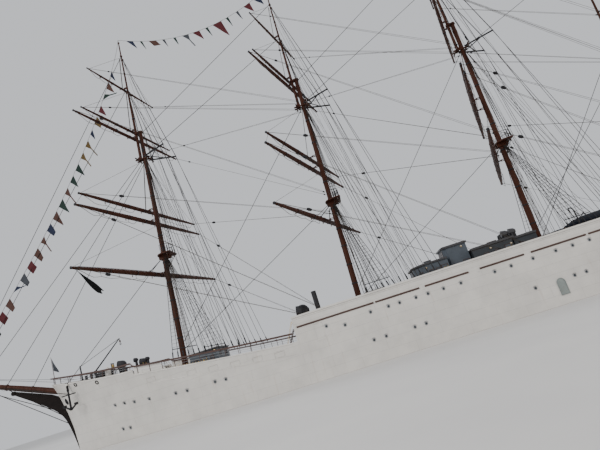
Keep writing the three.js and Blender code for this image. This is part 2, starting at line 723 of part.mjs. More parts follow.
const HEEL_BLOCK = 0.2;

// The frame of beams at the doubling: two along the ship, two across, and a braced outrigger on each side.
function crosstrees(mast, z, radius) {
  const x = axisX(mast, z);
  const { length, width, fore_width, beam } = CROSSTREES;
  const { root, root_y, tip, tip_y, r } = OUTRIGGER;
  const brace = OUTRIGGER_BRACE;
  const slope = (tip_y - root_y) / (tip - root);
  const parts = [-radius, radius].map((y) => box(x + 0.25, y, z, length, beam, beam));
  parts.push(box(x - 0.5, 0, z, beam, width, beam * 0.7));
  parts.push(box(x + 0.95, 0, z, beam, fore_width, beam * 0.7));
  for (const hand of [1, -1]) {
    parts.push(bar(v(x - root, hand * root_y, z), v(x - tip, hand * tip_y, z), r, r * 0.7, 6));
    const end = v(x - brace.tip, -hand * (root_y + slope * (brace.tip - root)), z);
    parts.push(bar(v(x - brace.root, hand * root_y, z), end, brace.r, brace.r, 6));
  }
  return parts;
}

// The block under an upper mast's heel, which stands on the crosstrees.
function heelBlock(mast, z, ahead) {
  const { beam } = CROSSTREES;
  return box(axisX(mast, z) + ahead, 0, z + beam / 2 + GAP + HEEL_BLOCK / 2, 0.5, 0.94, HEEL_BLOCK);
}

function cap(mast, z, ahead, r0, r1) {
  const x = axisX(mast, z);
  const half = CAP.height / 2;
  const block = box(x + ahead / 2, 0, z, ahead, (r1 + CAP.wall) * 2, CAP.height);
  const ring = upright(x + ahead, 0, z - half, z + half, r1 + CAP.wall, r1 + CAP.wall, 10);
  return [block, ring, upright(x, 0, z - half, z + half, r0 + CAP.wall, r0 + CAP.wall, 10)];
}

function along(mast, z, ahead = 0) {
  return v(axisX(mast, z) + ahead, 0, z);
}

function topgallantRadius(z, lift) {
  const heel = TOPGALLANT.heel + lift;
  const share = (z - heel) / (TOPGALLANT.truck - TOPGALLANT.heel);
  return TOPGALLANT.foot + (TOPGALLANT.head - TOPGALLANT.foot) * share;
}

// What lies below a mast's step.
const belowMast = (mast) => box(mast.x, 0, padTop(mast.x) - 2, 3, 3, 4);

function poleMast(mast) {
  const foot = deckTop(mast.x);
  const top = POLE.top + mast.lift;
  const parts = [bar(along(mast, foot), along(mast, top), POLE.foot, POLE.head, POLE.sides)];
  const collar = along(mast, foot + 0.35);
  parts.push(bar(along(mast, foot), collar, POLE.foot + 0.14, POLE.foot + 0.05, POLE.sides));
  for (const yard of YARDS.slice(0, 3)) parts.push(...truss(mast, yard, 0));
  const z = TOP.z + mast.lift;
  parts.push(topPlatform(mast));
  // Cheeks below the top carry its platform.
  for (const y of [-0.34, 0.34]) parts.push(box(axisX(mast, z) - 0.1, y, z - 0.3, 1.5, 0.16, 0.5));
  parts.push(...crosstrees(mast, CROSSTREES.z + mast.lift, 0.32));
  const capZ = CAP.z + mast.lift;
  const inner = topgallantRadius(capZ, mast.lift);
  parts.push(...cap(mast, capZ, TOPGALLANT.ahead, POLE.head, inner));
  const { ahead } = TOPGALLANT;
  const hole = drill(along(mast, capZ - 1, ahead), along(mast, capZ + 1, ahead), inner);
  return joined(parts).subtract(hole).subtract(belowMast(mast));
}

// A spike on the truck carries the dressing line.
const SPIKE = 0.45;
const SPIKE_R = 0.015;

function topgallantMast(mast) {
  const heel = TOPGALLANT.heel + mast.lift;
  const truck = TOPGALLANT.truck + mast.lift;
  const { ahead, foot, head, sides } = TOPGALLANT;
  const parts = [bar(along(mast, heel, ahead), along(mast, truck, ahead), foot, head, sides)];
  // The heel stands on the crosstrees, so the mast has a wider block there.
  parts.push(heelBlock(mast, CROSSTREES.z + mast.lift, ahead));
  for (const yard of YARDS.slice(3)) parts.push(...truss(mast, yard, ahead));
  const hounds = 52.4 + mast.lift;
  parts.push(bar(along(mast, hounds, ahead), along(mast, hounds + 0.2, ahead), 0.17, 0.17, sides));
  parts.push(bar(along(mast, truck - 0.02, ahead), along(mast, truck + 0.1, ahead), 0.16, 0.12, 8));
  parts.push(bar(along(mast, truck, ahead), along(mast, truck + SPIKE, ahead), SPIKE_R, SPIKE_R, 6));
  return joined(parts);
}

function topPlatform(mast) {
  const z = TOP.z + mast.lift;
  const x = axisX(mast, z);
  const { length, width, thickness } = TOP;
  const shape = new THREE.Shape();
  const aft = x - TOP.aft;
  const half = width / 2;
  shape.moveTo(aft * M, -half * M);
  shape.lineTo((aft + length * 0.4) * M, -half * M);
  shape.quadraticCurveTo((aft + length) * M, -half * 0.9 * M, (aft + length) * M, 0);
  shape.quadraticCurveTo((aft + length) * M, half * 0.9 * M, (aft + length * 0.4) * M, half * M);
  shape.lineTo(aft * M, half * M);
  return plateXY(shape, z - 0.06, thickness);
}

for (const mast of MASTS) {
  const foot = along(mast, deckTop(mast.x));
  add(`${mast.name}_mast`, SPAR, poleMast(mast), foot);
  const heel = along(mast, TOPGALLANT.heel, TOPGALLANT.ahead);
  add(`${mast.name}_topgallant_mast`, SPAR, topgallantMast(mast), heel);
}

// How a yard tapers: a share of its length, and a share of its radius in the middle.
const YARD_TAPER = [[0, 0.45], [0.2, 0.83], [0.35, 0.97], [0.65, 0.97], [0.8, 0.83], [1, 0.45]];

// The yards: a spar that tapers to both arms, hung from its truss pin by a lug.
function yardSolid(yard) {
  const out = YARD_AHEAD - yard.pin;
  const profile = YARD_TAPER.map(([share, thickness]) => [share, yard.r * thickness]);
  const parts = [turned(v(out, -yard.half, 0), v(out, yard.half, 0), profile, 8)];
  parts.push(box(out / 2, 0, 0, out, TRUSS.width * 0.9, TRUSS.lug));
  parts.push(upright(0, 0, -TRUSS.lug / 2, TRUSS.lug / 2, TRUSS.width / 2, TRUSS.width / 2, 8));
  return joined(parts).subtract(drill(v(0, 0, -1), v(0, 0, 1), TRUSS.pin));
}

for (const mast of MASTS) {
  for (const yard of YARDS) {
    const mesh = add(`${mast.name}_${yard.name}_yard`, SPAR, yardSolid(yard));
    mesh.position.copy(yardPin(mast, yard));
    mesh.rotation.z = -rad(mast.brace);
  }
}

// The jigger mast carries a boom and a gaff for the spanker.
const JIGGER_POLE = { top: 30.5, foot: 0.36, head: 0.24 };
const JIGGER_TOPMAST = { heel: 27.6, truck: 44.5, ahead: 0.55, foot: 0.19, head: 0.08 };
const JIGGER_TOP = 27.2;
const BOOM = { z: 9.9, length: 13.2, rise: 0.07, r: 0.2, pin: 0.66 };
const GAFF = { z: 19.2, length: 9.4, rise: 0.62, r: 0.16, pin: 0.58 };

function gooseneck(x, z, from) {
  const offset = TRUSS.lug / 2 + PIN_CLEARANCE + TRUSS.plate / 2;
  const parts = [upright(x, 0, z - offset, z + offset, TRUSS.pin, TRUSS.pin, 6)];
  for (const dz of [-offset, offset]) {
    parts.push(box((from + x) / 2, 0, z + dz, from - x, TRUSS.width, TRUSS.plate), trussEye(x, z + dz));
  }
  return parts;
}

const swingPin = (spar) => v(axisX(JIGGER, spar.z) - spar.pin, 0, spar.z);

function jiggerMast() {
  const foot = deckTop(JIGGER.x);
  const { top, foot: footR, head: headR } = JIGGER_POLE;
  const parts = [bar(along(JIGGER, foot), along(JIGGER, top), footR, headR, 10)];
  parts.push(bar(along(JIGGER, foot), along(JIGGER, foot + 0.35), 0.5, 0.41, 10));
  for (const spar of [BOOM, GAFF]) {
    parts.push(...gooseneck(swingPin(spar).x / M, spar.z, axisX(JIGGER, spar.z)));
  }
  parts.push(...crosstrees(JIGGER, JIGGER_TOP, 0.29));
  const z = JIGGER_POLE.top - 0.13;
  const radius = 0.18;
  parts.push(...cap(JIGGER, z, JIGGER_TOPMAST.ahead, JIGGER_POLE.head, radius));
  const ahead = JIGGER_TOPMAST.ahead;
  const hole = drill(along(JIGGER, z - 1, ahead), along(JIGGER, z + 1, ahead), radius);
  return joined(parts).subtract(hole).subtract(belowMast(JIGGER));
}
add("jigger_mast", SPAR, jiggerMast(), along(JIGGER, deckTop(JIGGER.x)));

function jiggerTopmast() {
  const { heel, truck, ahead, foot, head } = JIGGER_TOPMAST;
  const parts = [bar(along(JIGGER, heel, ahead), along(JIGGER, truck, ahead), 0.175, head, 10)];
  parts.push(heelBlock(JIGGER, JIGGER_TOP, ahead));
  parts.push(bar(along(JIGGER, heel - 0.2, ahead), along(JIGGER, heel + 0.6, ahead), foot, 0.17, 10));
  parts.push(bar(along(JIGGER, truck - 0.02, ahead), along(JIGGER, truck + 0.1, ahead), 0.16, 0.12, 8));
  return joined(parts);
}
add("jigger_topmast", SPAR, jiggerTopmast(), along(JIGGER, JIGGER_TOPMAST.heel, JIGGER_TOPMAST.ahead));

function swingSpar({ length, rise, r }) {
  const end = v(-length, 0, length * rise);
  const start = v(-0.3, 0, 0);
  const parts = [turned(start, end, [[0, r * 0.85], [0.5, r], [1, r * 0.6]])];
  parts.push(box(-0.2, 0, 0, 0.4, TRUSS.width * 0.8, TRUSS.lug));
  parts.push(upright(0, 0, -TRUSS.lug / 2, TRUSS.lug / 2, TRUSS.width / 2, TRUSS.width / 2, 8));
  return joined(parts).subtract(drill(v(0, 0, -1), v(0, 0, 1), TRUSS.pin));
}
const boom = add("spanker_boom", SPAR, swingSpar(BOOM));
boom.position.copy(swingPin(BOOM));
const gaff = add("spanker_gaff", SPAR, swingSpar(GAFF));
gaff.position.copy(swingPin(GAFF));

// The main stays. Columns: name, the mast and height that it leaves, and the mast and height, or the
// point, that it comes down to.
const [FORE, MAIN, MIZZEN] = MASTS;
const STAY_R = 0.035;
const STAYS = [
  { name: "fore_stay", mast: FORE, z: 20.95, end: [47.1, deckTop(47.1) + STAY_R + GAP * 2] },
  { name: "fore_topmast_stay", mast: FORE, z: 35.2, end: [55.1, 11.17] },
  { name: "main_stay", mast: MAIN, z: 20.95, to: FORE, at: 8.5 },
  { name: "main_topmast_stay", mast: MAIN, z: 35.2, to: FORE, at: 9.4 },
  { name: "mizzen_stay", mast: MIZZEN, z: 20.95, to: MAIN, at: 7.9 },
  { name: "mizzen_topmast_stay", mast: MIZZEN, z: 35.2, to: MAIN, at: 9.2 },
  { name: "jigger_stay", mast: JIGGER, z: 26.9, to: MIZZEN, at: 9.4 },
];

// The point where a stay of some slope meets the fore or the aft face of a mast.
function mastFace(mast, z, hand, slope) {
  const { foot, head, top } = mast === JIGGER ? JIGGER_POLE : POLE;
  const heel = deckTop(mast.x);
  const r = foot + ((head - foot) * (z - heel)) / (top + mast.lift - heel);
  return along(mast, z, hand * (flat(r, POLE.sides) + STAY_R * slope + GAP));
}

for (const { name, mast, z, end, to, at } of STAYS) {
  const start = along(mast, z + mast.lift);
  const goal = end ? v(end[0], 0, end[1]) : along(to, at);
  const slope = Math.abs(goal.clone().sub(start).normalize().z);
  const head = mastFace(mast, z + mast.lift, 1, slope);
  const foot = end ? goal : mastFace(to, at, -1, slope);
  add(name, IRON, bar(head, foot, STAY_R, STAY_R, 6), head);
}

// Anchors hang below catheads at the bow.
function anchor(hand) {
  const { x } = CATHEAD;
  const y = hand * CATHEAD.reach;
  const parts = [bar(v(x, y, CATHEAD.z - CATHEAD.beam / 2 - GAP), v(x, y, 5.4), 0.1, 0.13)];
  parts.push(bar(v(x - 0.9, y, 7.2), v(x + 0.9, y, 7.2), 0.07, 0.07, 8));
  for (const dx of [-1, 1]) {
    parts.push(bar(v(x, y, 5.4), v(x + dx * 0.75, y, 5.9), 0.13, 0.09, 8));
    parts.push(box(x + dx * 0.75, y, 5.95, 0.3, 0.45, 0.3));
  }
  return joined(parts);
}
add("anchor_port", IRON, anchor(1));
add("anchor_starboard", IRON, anchor(-1));

// The derrick swings on its step.
function derrick() {
  const { x, y, z, reach, rise } = DERRICK;
  const foot = padTop(x);
  const parts = [upright(x, y, foot, foot + 0.25, 0.2), upright(x, y, foot + 0.2, z, 0.11)];
  parts.push(bar(v(x, y, z - 0.05), v(x - reach, y, z + rise), 0.09, 0.06, 8));
  return joined(parts);
}
add("derrick", IRON, derrick(), v(DERRICK.x, DERRICK.y, deckTop(DERRICK.x)));

// A covered boat stands in chocks on each side abaft the mizzen mast.
function boat(hand) {
  const [x, y, z] = [-21.6, hand * 4.7, 7.42];
  const ring = (share, width, low, high) => {
    const px = x + share * 4.1;
    const section = [
      [0, low], [0.6, low + 0.12], [0.95, low + 0.5], [1, high - 0.15], [0.55, high + 0.12],
      [0, high + 0.2], [-0.55, high + 0.12], [-1, high - 0.15], [-0.95, low + 0.5], [-0.6, low + 0.12],
    ];
    return section.map(([a, dz]) => v(px, y + a * width, z + dz));
  };
  const rings = [
    ring(-1, 0.15, 0.1, 0.95), ring(-0.8, 0.75, -0.25, 0.85), ring(-0.4, 1.15, -0.45, 0.8),
    ring(0.2, 1.2, -0.5, 0.8), ring(0.7, 0.85, -0.3, 0.85), ring(1, 0.12, 0.15, 1.0),
  ];
  const parts = [loft(rings)];
  const chock = z - 0.1 - deckTop(x) + SUNK;
  for (const dx of [-2, 2]) parts.push(box(x + dx, y, z - 0.1 - chock / 2, 0.3, 1.7, chock));
  return standing(DECKS.poop, joined(parts));
}
add("boat_port", COVER, boat(1));
add("boat_starboard", COVER, boat(-1));

// The dressing line over the mastheads, with its flags.
const DRESSING = { r: 0.02, flag: 1.3, drop: 1.35, thickness: 0.05 };
const TRUCK_TOP = TOPGALLANT.truck + SPIKE;
// The line's middle lies this far over a spike. It leaves the fore truck steeply, so it lies higher there.
const LINE_OVER_SPIKE = 0.032;
const LINE_OVER_FORE_SPIKE = 0.058;

function truckPoint(mast) {
  const over = mast === FORE ? LINE_OVER_FORE_SPIKE : LINE_OVER_SPIKE;
  return along(mast, TRUCK_TOP + mast.lift + over, TOPGALLANT.ahead);
}

const LINE_END = sprit(61.6).add(v(0, 0, 0.3));
// The legs of the line. Columns: its ends, how deep it sags, how the sag leans to its first end, and how
// many flags it holds.
const LEGS = [
  { from: truckPoint(FORE), to: LINE_END, sag: 14.7, lean: [0.7, 1.2], flags: 21 },
  { from: truckPoint(FORE), to: truckPoint(MAIN), sag: 12, lean: [1, 1], flags: 13 },
  { from: truckPoint(MAIN), to: truckPoint(MIZZEN), sag: 12, lean: [1, 1], flags: 13 },
];

function dressingLeg({ from, to, sag, lean, flags }) {
  const steps = flags + 1;
  const point = (i) => {
    const t = i / steps;
    return from.clone().lerp(to, t).add(v(0, 0, -sag * t ** lean[0] * (1 - t) ** lean[1]));
  };
  const line = Array.from({ length: steps + 1 }, (_, i) => point(i));
  const parts = [strip(line, DRESSING.r * 2, DRESSING.r * 2)];
  for (let i = 1; i < steps; i++) {
    const at = point(i);
    const half = point(i + 1).sub(at).setLength((DRESSING.flag / 2) * M);
    const tip = at.clone().add(v(0, 0, -DRESSING.drop));
    const side = v(0, DRESSING.thickness / 2, 0);
    const corners = [at.clone().add(half), at.clone().sub(half), tip];
    const ring = (s) => corners.map((p) => p.clone().addScaledVector(side, s));
    parts.push(loft([ring(1), ring(-1)]));
  }
  return parts;
}
const dressing = joined(LEGS.flatMap(dressingLeg));
add("dressing_line", CLOTH, dressing);

export default group;
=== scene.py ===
"""Looks of the four-masted barque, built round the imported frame.

Every table here is in metres of the full-size ship, and SCALE turns them into metres of the 1:10 model.
X points to the bow, Y to port and Z up, with the origin at the waterline amidships.
"""

import math
import random

import bpy
from mathutils import Matrix, Vector
from mathutils.bvhtree import BVHTree


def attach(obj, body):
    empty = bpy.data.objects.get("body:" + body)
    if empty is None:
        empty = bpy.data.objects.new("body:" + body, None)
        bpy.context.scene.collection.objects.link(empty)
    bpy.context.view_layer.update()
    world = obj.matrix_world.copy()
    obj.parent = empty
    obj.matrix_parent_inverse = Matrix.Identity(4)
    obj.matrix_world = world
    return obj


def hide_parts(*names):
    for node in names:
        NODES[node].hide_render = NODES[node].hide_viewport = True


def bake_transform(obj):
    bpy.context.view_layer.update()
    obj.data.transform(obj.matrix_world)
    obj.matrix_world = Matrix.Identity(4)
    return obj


bl_info = {
    "name": "Four-masted barque",
    "version": (1, 0, 0),
    "blender": (4, 5, 0),
    "location": "3D View > Sidebar > Barque",
    "description": "Rigging, flags, fittings and finishes of a 1:10 barque",
    "category": "Object",
}

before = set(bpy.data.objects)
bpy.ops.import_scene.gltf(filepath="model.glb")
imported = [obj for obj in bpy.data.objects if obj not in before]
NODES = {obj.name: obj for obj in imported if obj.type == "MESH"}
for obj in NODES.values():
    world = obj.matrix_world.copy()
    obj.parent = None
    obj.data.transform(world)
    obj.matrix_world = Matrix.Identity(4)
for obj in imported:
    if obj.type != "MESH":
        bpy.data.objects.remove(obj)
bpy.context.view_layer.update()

SCALE = 0.1
SEED = 7
# Port and starboard.
HANDS = (1, -1)


def table(columns, *rows):
    """A table's rows, each with its values under the names of the columns."""
    return [dict(zip(columns.split(), row)) for row in rows]


# The masts. Columns: node prefix, place at the height of MAST_FOOT, rake aft and the yards' turn in
# degrees, and how much higher than the fore mast's gear its own stands.
MAST_FOOT = 7
MASTS = table(
    "name x rake brace lift",
    ("fore", 31.15, 2.73, 12.1, 0.0),
    ("main", 7.47, 2.39, 16.7, -0.23),
    ("mizzen", -16.01, 1.42, 18.0, 0.02),
)
JIGGER = {"name": "jigger", "x": -34.85, "rake": 1.8, "brace": 0.0, "lift": 0.0}
TOPGALLANT_AHEAD = 0.62
JIGGER_TOPMAST_AHEAD = 0.55
TRUCK_Z = 54.8

# The yards. Columns: name, height, half length, radius in the middle, how far ahead of the mast's axis
# its truss pin stands, where its lifts reach the mast, and where its braces lead: the height on the next
# mast aft, or None for the rail.
YARD_AHEAD = 1.36
YARDS = table(
    "name z half r pin lift_to brace_to",
    ("course", 18.94, 15.85, 0.33, 0.72, 25.4, None),
    ("lower_topsail", 26.45, 13.8, 0.3, 0.72, None, None),
    ("upper_topsail", 28.01, 12.89, 0.27, 0.72, 35.2, 19.8),
    ("lower_topgallant", 39.22, 11.49, 0.24, 0.98, None, 22.5),
    ("upper_topgallant", 40.31, 9.93, 0.2, 0.98, 46.4, 34.9),
    ("royal", 47.16, 7.44, 0.16, 0.98, 52.2, 36.2),
)
YARD_TAPER = [(0, 0.97), (0.3, 0.97), (0.6, 0.83), (1, 0.45)]

# The hull's edge, as in the frame.
POOP_BREAK = 15.65
FORECASTLE_BREAK = 35.2
POOP_DECK = 6.41
STEM = {"x": 46.95, "rake": 0.0243}
BOWSPRIT = {"at": 49.05, "z": 8.5, "slope": 0.366}

# The camera, found by fitting a pinhole camera and the rig to the photograph.
CAMERA_AT = (8.48, 64.84, 3.5)
CAMERA_YAW = -87.10
CAMERA_PITCH = 13.64
CAMERA_ROLL = -17.67
CAMERA_FOCAL_PX = 505.9
PICTURE_WIDTH = 600
SENSOR = 36.0


def axis_x(mast, z):
    return mast["x"] - math.tan(math.radians(mast["rake"])) * (z - MAST_FOOT)


def along(mast, z, ahead=0.0, y=0.0):
    """A point beside a mast's axis."""
    return Vector((axis_x(mast, z) + ahead, y, z))


def edge(s):
    """The height of the hull's edge."""
    if s < POOP_BREAK:
        return 7.45 + (0.95 * ((-20 - s) / 28.7) ** 2 if s < -20 else 0)
    if s < FORECASTLE_BREAK:
        return 4.86 + 0.088 * (s - POOP_BREAK) + 0.0012 * (s - POOP_BREAK) ** 2
    return 7.55 + 1.75 * ((s - FORECASTLE_BREAK) / 11.7) ** 1.5


def rake_at(s, z):
    """How far the bow's rake moves a point of frame s forward."""
    return min(max((s - 30) / 16.9, 0), 1) ** 2 * STEM["rake"] * z * z


def edge_at(x):
    """The height of the hull's edge at some place, which the frame that reaches it there has."""
    s = x
    for _ in range(12):
        s = x - rake_at(s, edge(s))
    return edge(s)


def sprit(x, above=0.0, y=0.0):
    return Vector((x, y, BOWSPRIT["z"] + (x - BOWSPRIT["at"]) * BOWSPRIT["slope"] + above))


def sprit_radius(x):
    return 0.36 - 0.012 * (x - 49)


def tree_of(*names):
    """A search tree over the surfaces of some CAD nodes, in metres of the model."""
    points, polygons = [], []
    for name in names:
        mesh = NODES[name].data
        base = len(points)
        points += [v.co.copy() for v in mesh.vertices]
        polygons += [[base + i for i in p.vertices] for p in mesh.polygons]
    return BVHTree.FromPolygons(points, polygons)


SIDES = tree_of(*[n for n in NODES if n == "hull" or n.startswith("bulwark")])
DECKS = tree_of("deck_poop", "deck_well", "deck_forecastle")


def at_side(x, z, hand=1, out=0.0):
    """The point of the ship's side at some place and height, moved outward, and the side's normal."""
    for nudge in (0, 0.04, -0.04):
        start = Vector((x, hand * 20, z + nudge)) * SCALE
        hit, normal, _, _ = SIDES.ray_cast(start, Vector((0, -hand, 0)))
        if hit is None or hit.y * hand < 0:
            continue
        if normal.y * hand < 0:
            normal = -normal
        return Vector((x, hit.y / SCALE, z)) + normal * out, normal
    raise RuntimeError(f"no side of the hull at {x}, {z}")


def deck_at(x, y):
    """The height of the deck at some place."""
    hit = DECKS.ray_cast(Vector((x, y, 13.0)) * SCALE, DOWN)[0]
    return hit.z / SCALE if hit else edge(x) - 1.1


UP = Vector((0, 0, 1))
DOWN = -UP


def upward(height):
    return Vector((0, 0, height))


def circle(centre, side, across, radius, count):
    """Points round a centre, in the plane of two directions."""
    turns = [2 * math.pi * k / count for k in range(count)]
    return [centre + (side * math.cos(a) + across * math.sin(a)) * radius for a in turns]


class Shape:
    """The points and faces of one piece, in metres of the full-size ship."""

    def __init__(self):
        self.points = []
        self.faces = []
        self.slots = []

    def add(self, points, faces, slot=0):
        base = len(self.points)
        self.points += [Vector(p) for p in points]
        self.faces += [tuple(base + i for i in face) for face in faces]
        self.slots += [slot] * len(faces)

    def rings(self, rings, slot=0, closed=False, capped=True):
        """A skin over rings of points that all have the same number of points."""
        count = len(rings[0])
        points = [p for ring in rings for p in ring]
        faces = []
        steps = len(rings) if closed else len(rings) - 1
        for i in range(steps):
            a, b = i * count, ((i + 1) % len(rings)) * count
            for k in range(count):
                j = (k + 1) % count
                faces.append((a + k, a + j, b + j, b + k))
        if capped and not closed:
            faces.append(tuple(reversed(range(count))))
            faces.append(tuple(range((len(rings) - 1) * count, len(rings) * count)))
        self.add(points, faces, slot)

    def skin(self, points, columns):
        """An open skin over rows of points."""
        faces = []
        for i in range(len(points) // columns - 1):
            for j in range(columns - 1):
                a = i * columns + j
                faces.append((a, a + 1, a + columns + 1, a + columns))
        self.add(points, faces)

    def tube(self, line, radius, sides=5, slot=0, closed=False):
        """A round bar along a line. radius is one number, or one for each point."""
        line = [Vector(p) for p in line]
        radii = radius if isinstance(radius, (list, tuple)) else [radius] * len(line)
        rings, side = [], None
        for i, point in enumerate(line):
            before = line[i - 1] if i or closed else line[0]
            after = line[(i + 1) % len(line)] if i + 1 < len(line) or closed else line[-1]
            run = (after - before).normalized()
            if side is None:
                side = run.orthogonal().normalized()
            side = (side - run * side.dot(run)).normalized()
            across = run.cross(side)
            rings.append(circle(point, side, across, radii[i], sides))
        self.rings(rings, slot, closed)

    def block(self, centre, size, slot=0, yaw=0.0, taper=1.0):
        """A box about a point. Its top is taper times as wide and long as its foot."""
        turn = Matrix.Rotation(yaw, 3, "Z")
        corners = []
        for dz, share in ((-0.5, 1.0), (0.5, taper)):
            for dx, dy in ((-0.5, -0.5), (0.5, -0.5), (0.5, 0.5), (-0.5, 0.5)):
                offset = Vector((dx * size[0] * share, dy * size[1] * share, dz * size[2]))
                corners.append(Vector(centre) + turn @ offset)
        self.rings([corners[:4], corners[4:]], slot)

    def turned(self, foot, axis, profile, sides=10, slot=0):
        """A turned form. profile holds heights along the axis and radii there."""
        axis = Vector(axis).normalized()
        side = axis.orthogonal().normalized()
        across = axis.cross(side)
        foot = Vector(foot)
        rings = [circle(foot + axis * height, side, across, radius, sides) for height, radius in profile]
        self.rings(rings, slot)

    def hoop(self, centre, axis, radius, thickness, steps=16, sides=6, slot=0):
        axis = Vector(axis).normalized()
        side = axis.orthogonal().normalized()
        across = axis.cross(side)
        self.tube(circle(Vector(centre), side, across, radius, steps), thickness, sides, slot, closed=True)


def piece(name, shape, paints, body="root", smooth=True):
    """An object of a shape, riding on a body of the frame."""
    mesh = bpy.data.meshes.new(name)
    mesh.from_pydata([p * SCALE for p in shape.points], [], shape.faces)
    for finish in [paints] if isinstance(paints, str) else paints:
        mesh.materials.append(paint(finish))
    mesh.polygons.foreach_set("material_index", shape.slots)
    mesh.polygons.foreach_set("use_smooth", [smooth] * len(mesh.polygons))
    mesh.update()
    if smooth:
        mesh.set_sharp_from_angle(angle=math.radians(40))
    made = bpy.data.objects.new(name, mesh)
    bpy.context.scene.collection.objects.link(made)
    if body:
        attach(made, body)
    return made


def colour(value):
    return (value[0], value[1], value[2], 1.0)


def times(tone, share):
    """A tone made darker, or lighter up to white."""
    return [min(c * share, 1) for c in tone]


class Nodes:
    """A short way to wire up a material's nodes."""

    def __init__(self, name):
        self.material = bpy.data.materials.new(name)
        self.material.use_nodes = True
        self.tree = self.material.node_tree
        self.shader = self.tree.nodes["Principled BSDF"]
        self.place = self.new("ShaderNodeTexCoord").outputs["Object"]

    def new(self, kind, **settings):
        node = self.tree.nodes.new(kind)
        for key, value in settings.items():
            setattr(node, key, value)
        return node

    def link(self, output, socket):
        self.tree.links.new(output, socket)

    def stretched(self, scale):
        node = self.new("ShaderNodeMapping")
        node.inputs["Scale"].default_value = scale
        self.link(self.place, node.inputs["Vector"])
        return node.outputs["Vector"]

    def noise(self, scale, detail=4.0, stretch=(1, 1, 1), roughness=0.6):
        node = self.new("ShaderNodeTexNoise")
        node.inputs["Scale"].default_value = scale
        node.inputs["Detail"].default_value = detail
        node.inputs["Roughness"].default_value = roughness
        self.link(self.stretched(stretch), node.inputs["Vector"])
        return node.outputs["Fac"]

    def ramp(self, factor, stops):
        node = self.new("ShaderNodeValToRGB")
        elements = node.color_ramp.elements
        elements.remove(elements[1])
        for i, (place, value) in enumerate(stops):
            element = elements.new(place) if i else elements[0]
            element.position = place
            element.color = colour(value) if hasattr(value, "__len__") else (value, value, value, 1)
        self.link(factor, node.inputs["Fac"])
        return node.outputs["Color"]

    def mix(self, factor, a, b, blend="MIX"):
        node = self.new("ShaderNodeMix", data_type="RGBA", blend_type=blend)
        for value, socket in ((factor, node.inputs[0]), (a, node.inputs[6]), (b, node.inputs[7])):
            if hasattr(value, "is_output"):
                self.link(value, socket)
            elif hasattr(value, "__len__"):
                socket.default_value = colour(value)
            else:
                socket.default_value = value
        return node.outputs[2]

    def between(self, factor, low, high, first, second, most=1.0):
        """One tone where a factor is low, and more and more of a second where it is high."""
        return self.mix(self.ramp(factor, [(low, 0.0), (high, most)]), first, second)

    def math(self, operation, a, b=0.0):
        node = self.new("ShaderNodeMath", operation=operation)
        for value, socket in ((a, node.inputs[0]), (b, node.inputs[1])):
            if hasattr(value, "is_output"):
                self.link(value, socket)
            else:
                socket.default_value = value
        return node.outputs[0]

    def axis(self, name):
        node = self.new("ShaderNodeSeparateXYZ")
        self.link(self.place, node.inputs[0])
        return node.outputs[name]

    def bump(self, height, strength, distance):
        node = self.new("ShaderNodeBump")
        node.inputs["Strength"].default_value = strength
        node.inputs["Distance"].default_value = distance
        self.link(height, node.inputs["Height"])
        self.link(node.outputs["Normal"], self.shader.inputs["Normal"])

    def finish(self, base, rough, metallic=0.0, coat=0.0, shine=0.5):
        self.link(base, self.shader.inputs["Base Color"])
        if hasattr(rough, "is_output"):
            self.link(rough, self.shader.inputs["Roughness"])
        else:
            self.shader.inputs["Roughness"].default_value = rough
        self.shader.inputs["Metallic"].default_value = metallic
        self.shader.inputs["Coat Weight"].default_value = coat
        self.shader.inputs["Specular IOR Level"].default_value = shine
        return self.material


def bricks(made, vector, width, height, offset, joint):
    """A shade that differs from one plate or plank to the next, and where their joints are."""
    node = made.new("ShaderNodeTexBrick", offset=offset)
    node.inputs["Color1"].default_value = (0.35, 0.35, 0.35, 1)
    node.inputs["Color2"].default_value = (0.65, 0.65, 0.65, 1)
    node.inputs["Mortar"].default_value = (0, 0, 0, 1)
    node.inputs["Scale"].default_value = 1.0
    node.inputs["Mortar Size"].default_value = joint
    node.inputs["Mortar Smooth"].default_value = 0.3
    node.inputs["Brick Width"].default_value = width
    node.inputs["Row Height"].default_value = height
    made.link(vector, node.inputs["Vector"])
    return node.outputs["Color"], node.outputs["Fac"]


def plane_vector(made, first, second):
    node = made.new("ShaderNodeCombineXYZ")
    made.link(made.axis(first), node.inputs[0])
    made.link(made.axis(second), node.inputs[1])
    return node.outputs[0]


def hull_paint(name, settings):
    """White enamel on riveted plates, with faint runs of rust, and red below the waterline."""
    made = Nodes(name)
    shade, joint = bricks(made, plane_vector(made, "X", "Z"), 0.62, 0.112, 0.5, 0.0012)
    cloud = made.noise(5.0, 5)
    runs = made.noise(26.0, 6, stretch=(1, 1, 0.06))
    white = made.between(cloud, 0.35, 0.7, settings.hull, times(settings.hull, 0.86))
    plates = made.mix(0.12, white, shade, "SOFT_LIGHT")
    stained = made.between(runs, 0.6, 0.78, plates, (0.36, 0.22, 0.13), most=0.3)
    seams = made.mix(made.math("MULTIPLY", joint, 0.35), stained, (0.22, 0.2, 0.19))
    under = made.ramp(made.math("MULTIPLY", made.axis("Z"), 10.0), [(0.0, 1.0), (0.02, 0.0)])
    below = made.between(runs, 0.3, 0.7, settings.underwater, times(settings.underwater, 0.55))
    base = made.mix(under, seams, below)
    made.bump(made.math("SUBTRACT", made.math("MULTIPLY", cloud, 0.4), joint), 0.35, 0.002)
    rough = made.ramp(cloud, [(0.3, 0.34), (0.75, 0.52)])
    return made.finish(base, rough, coat=0.15)


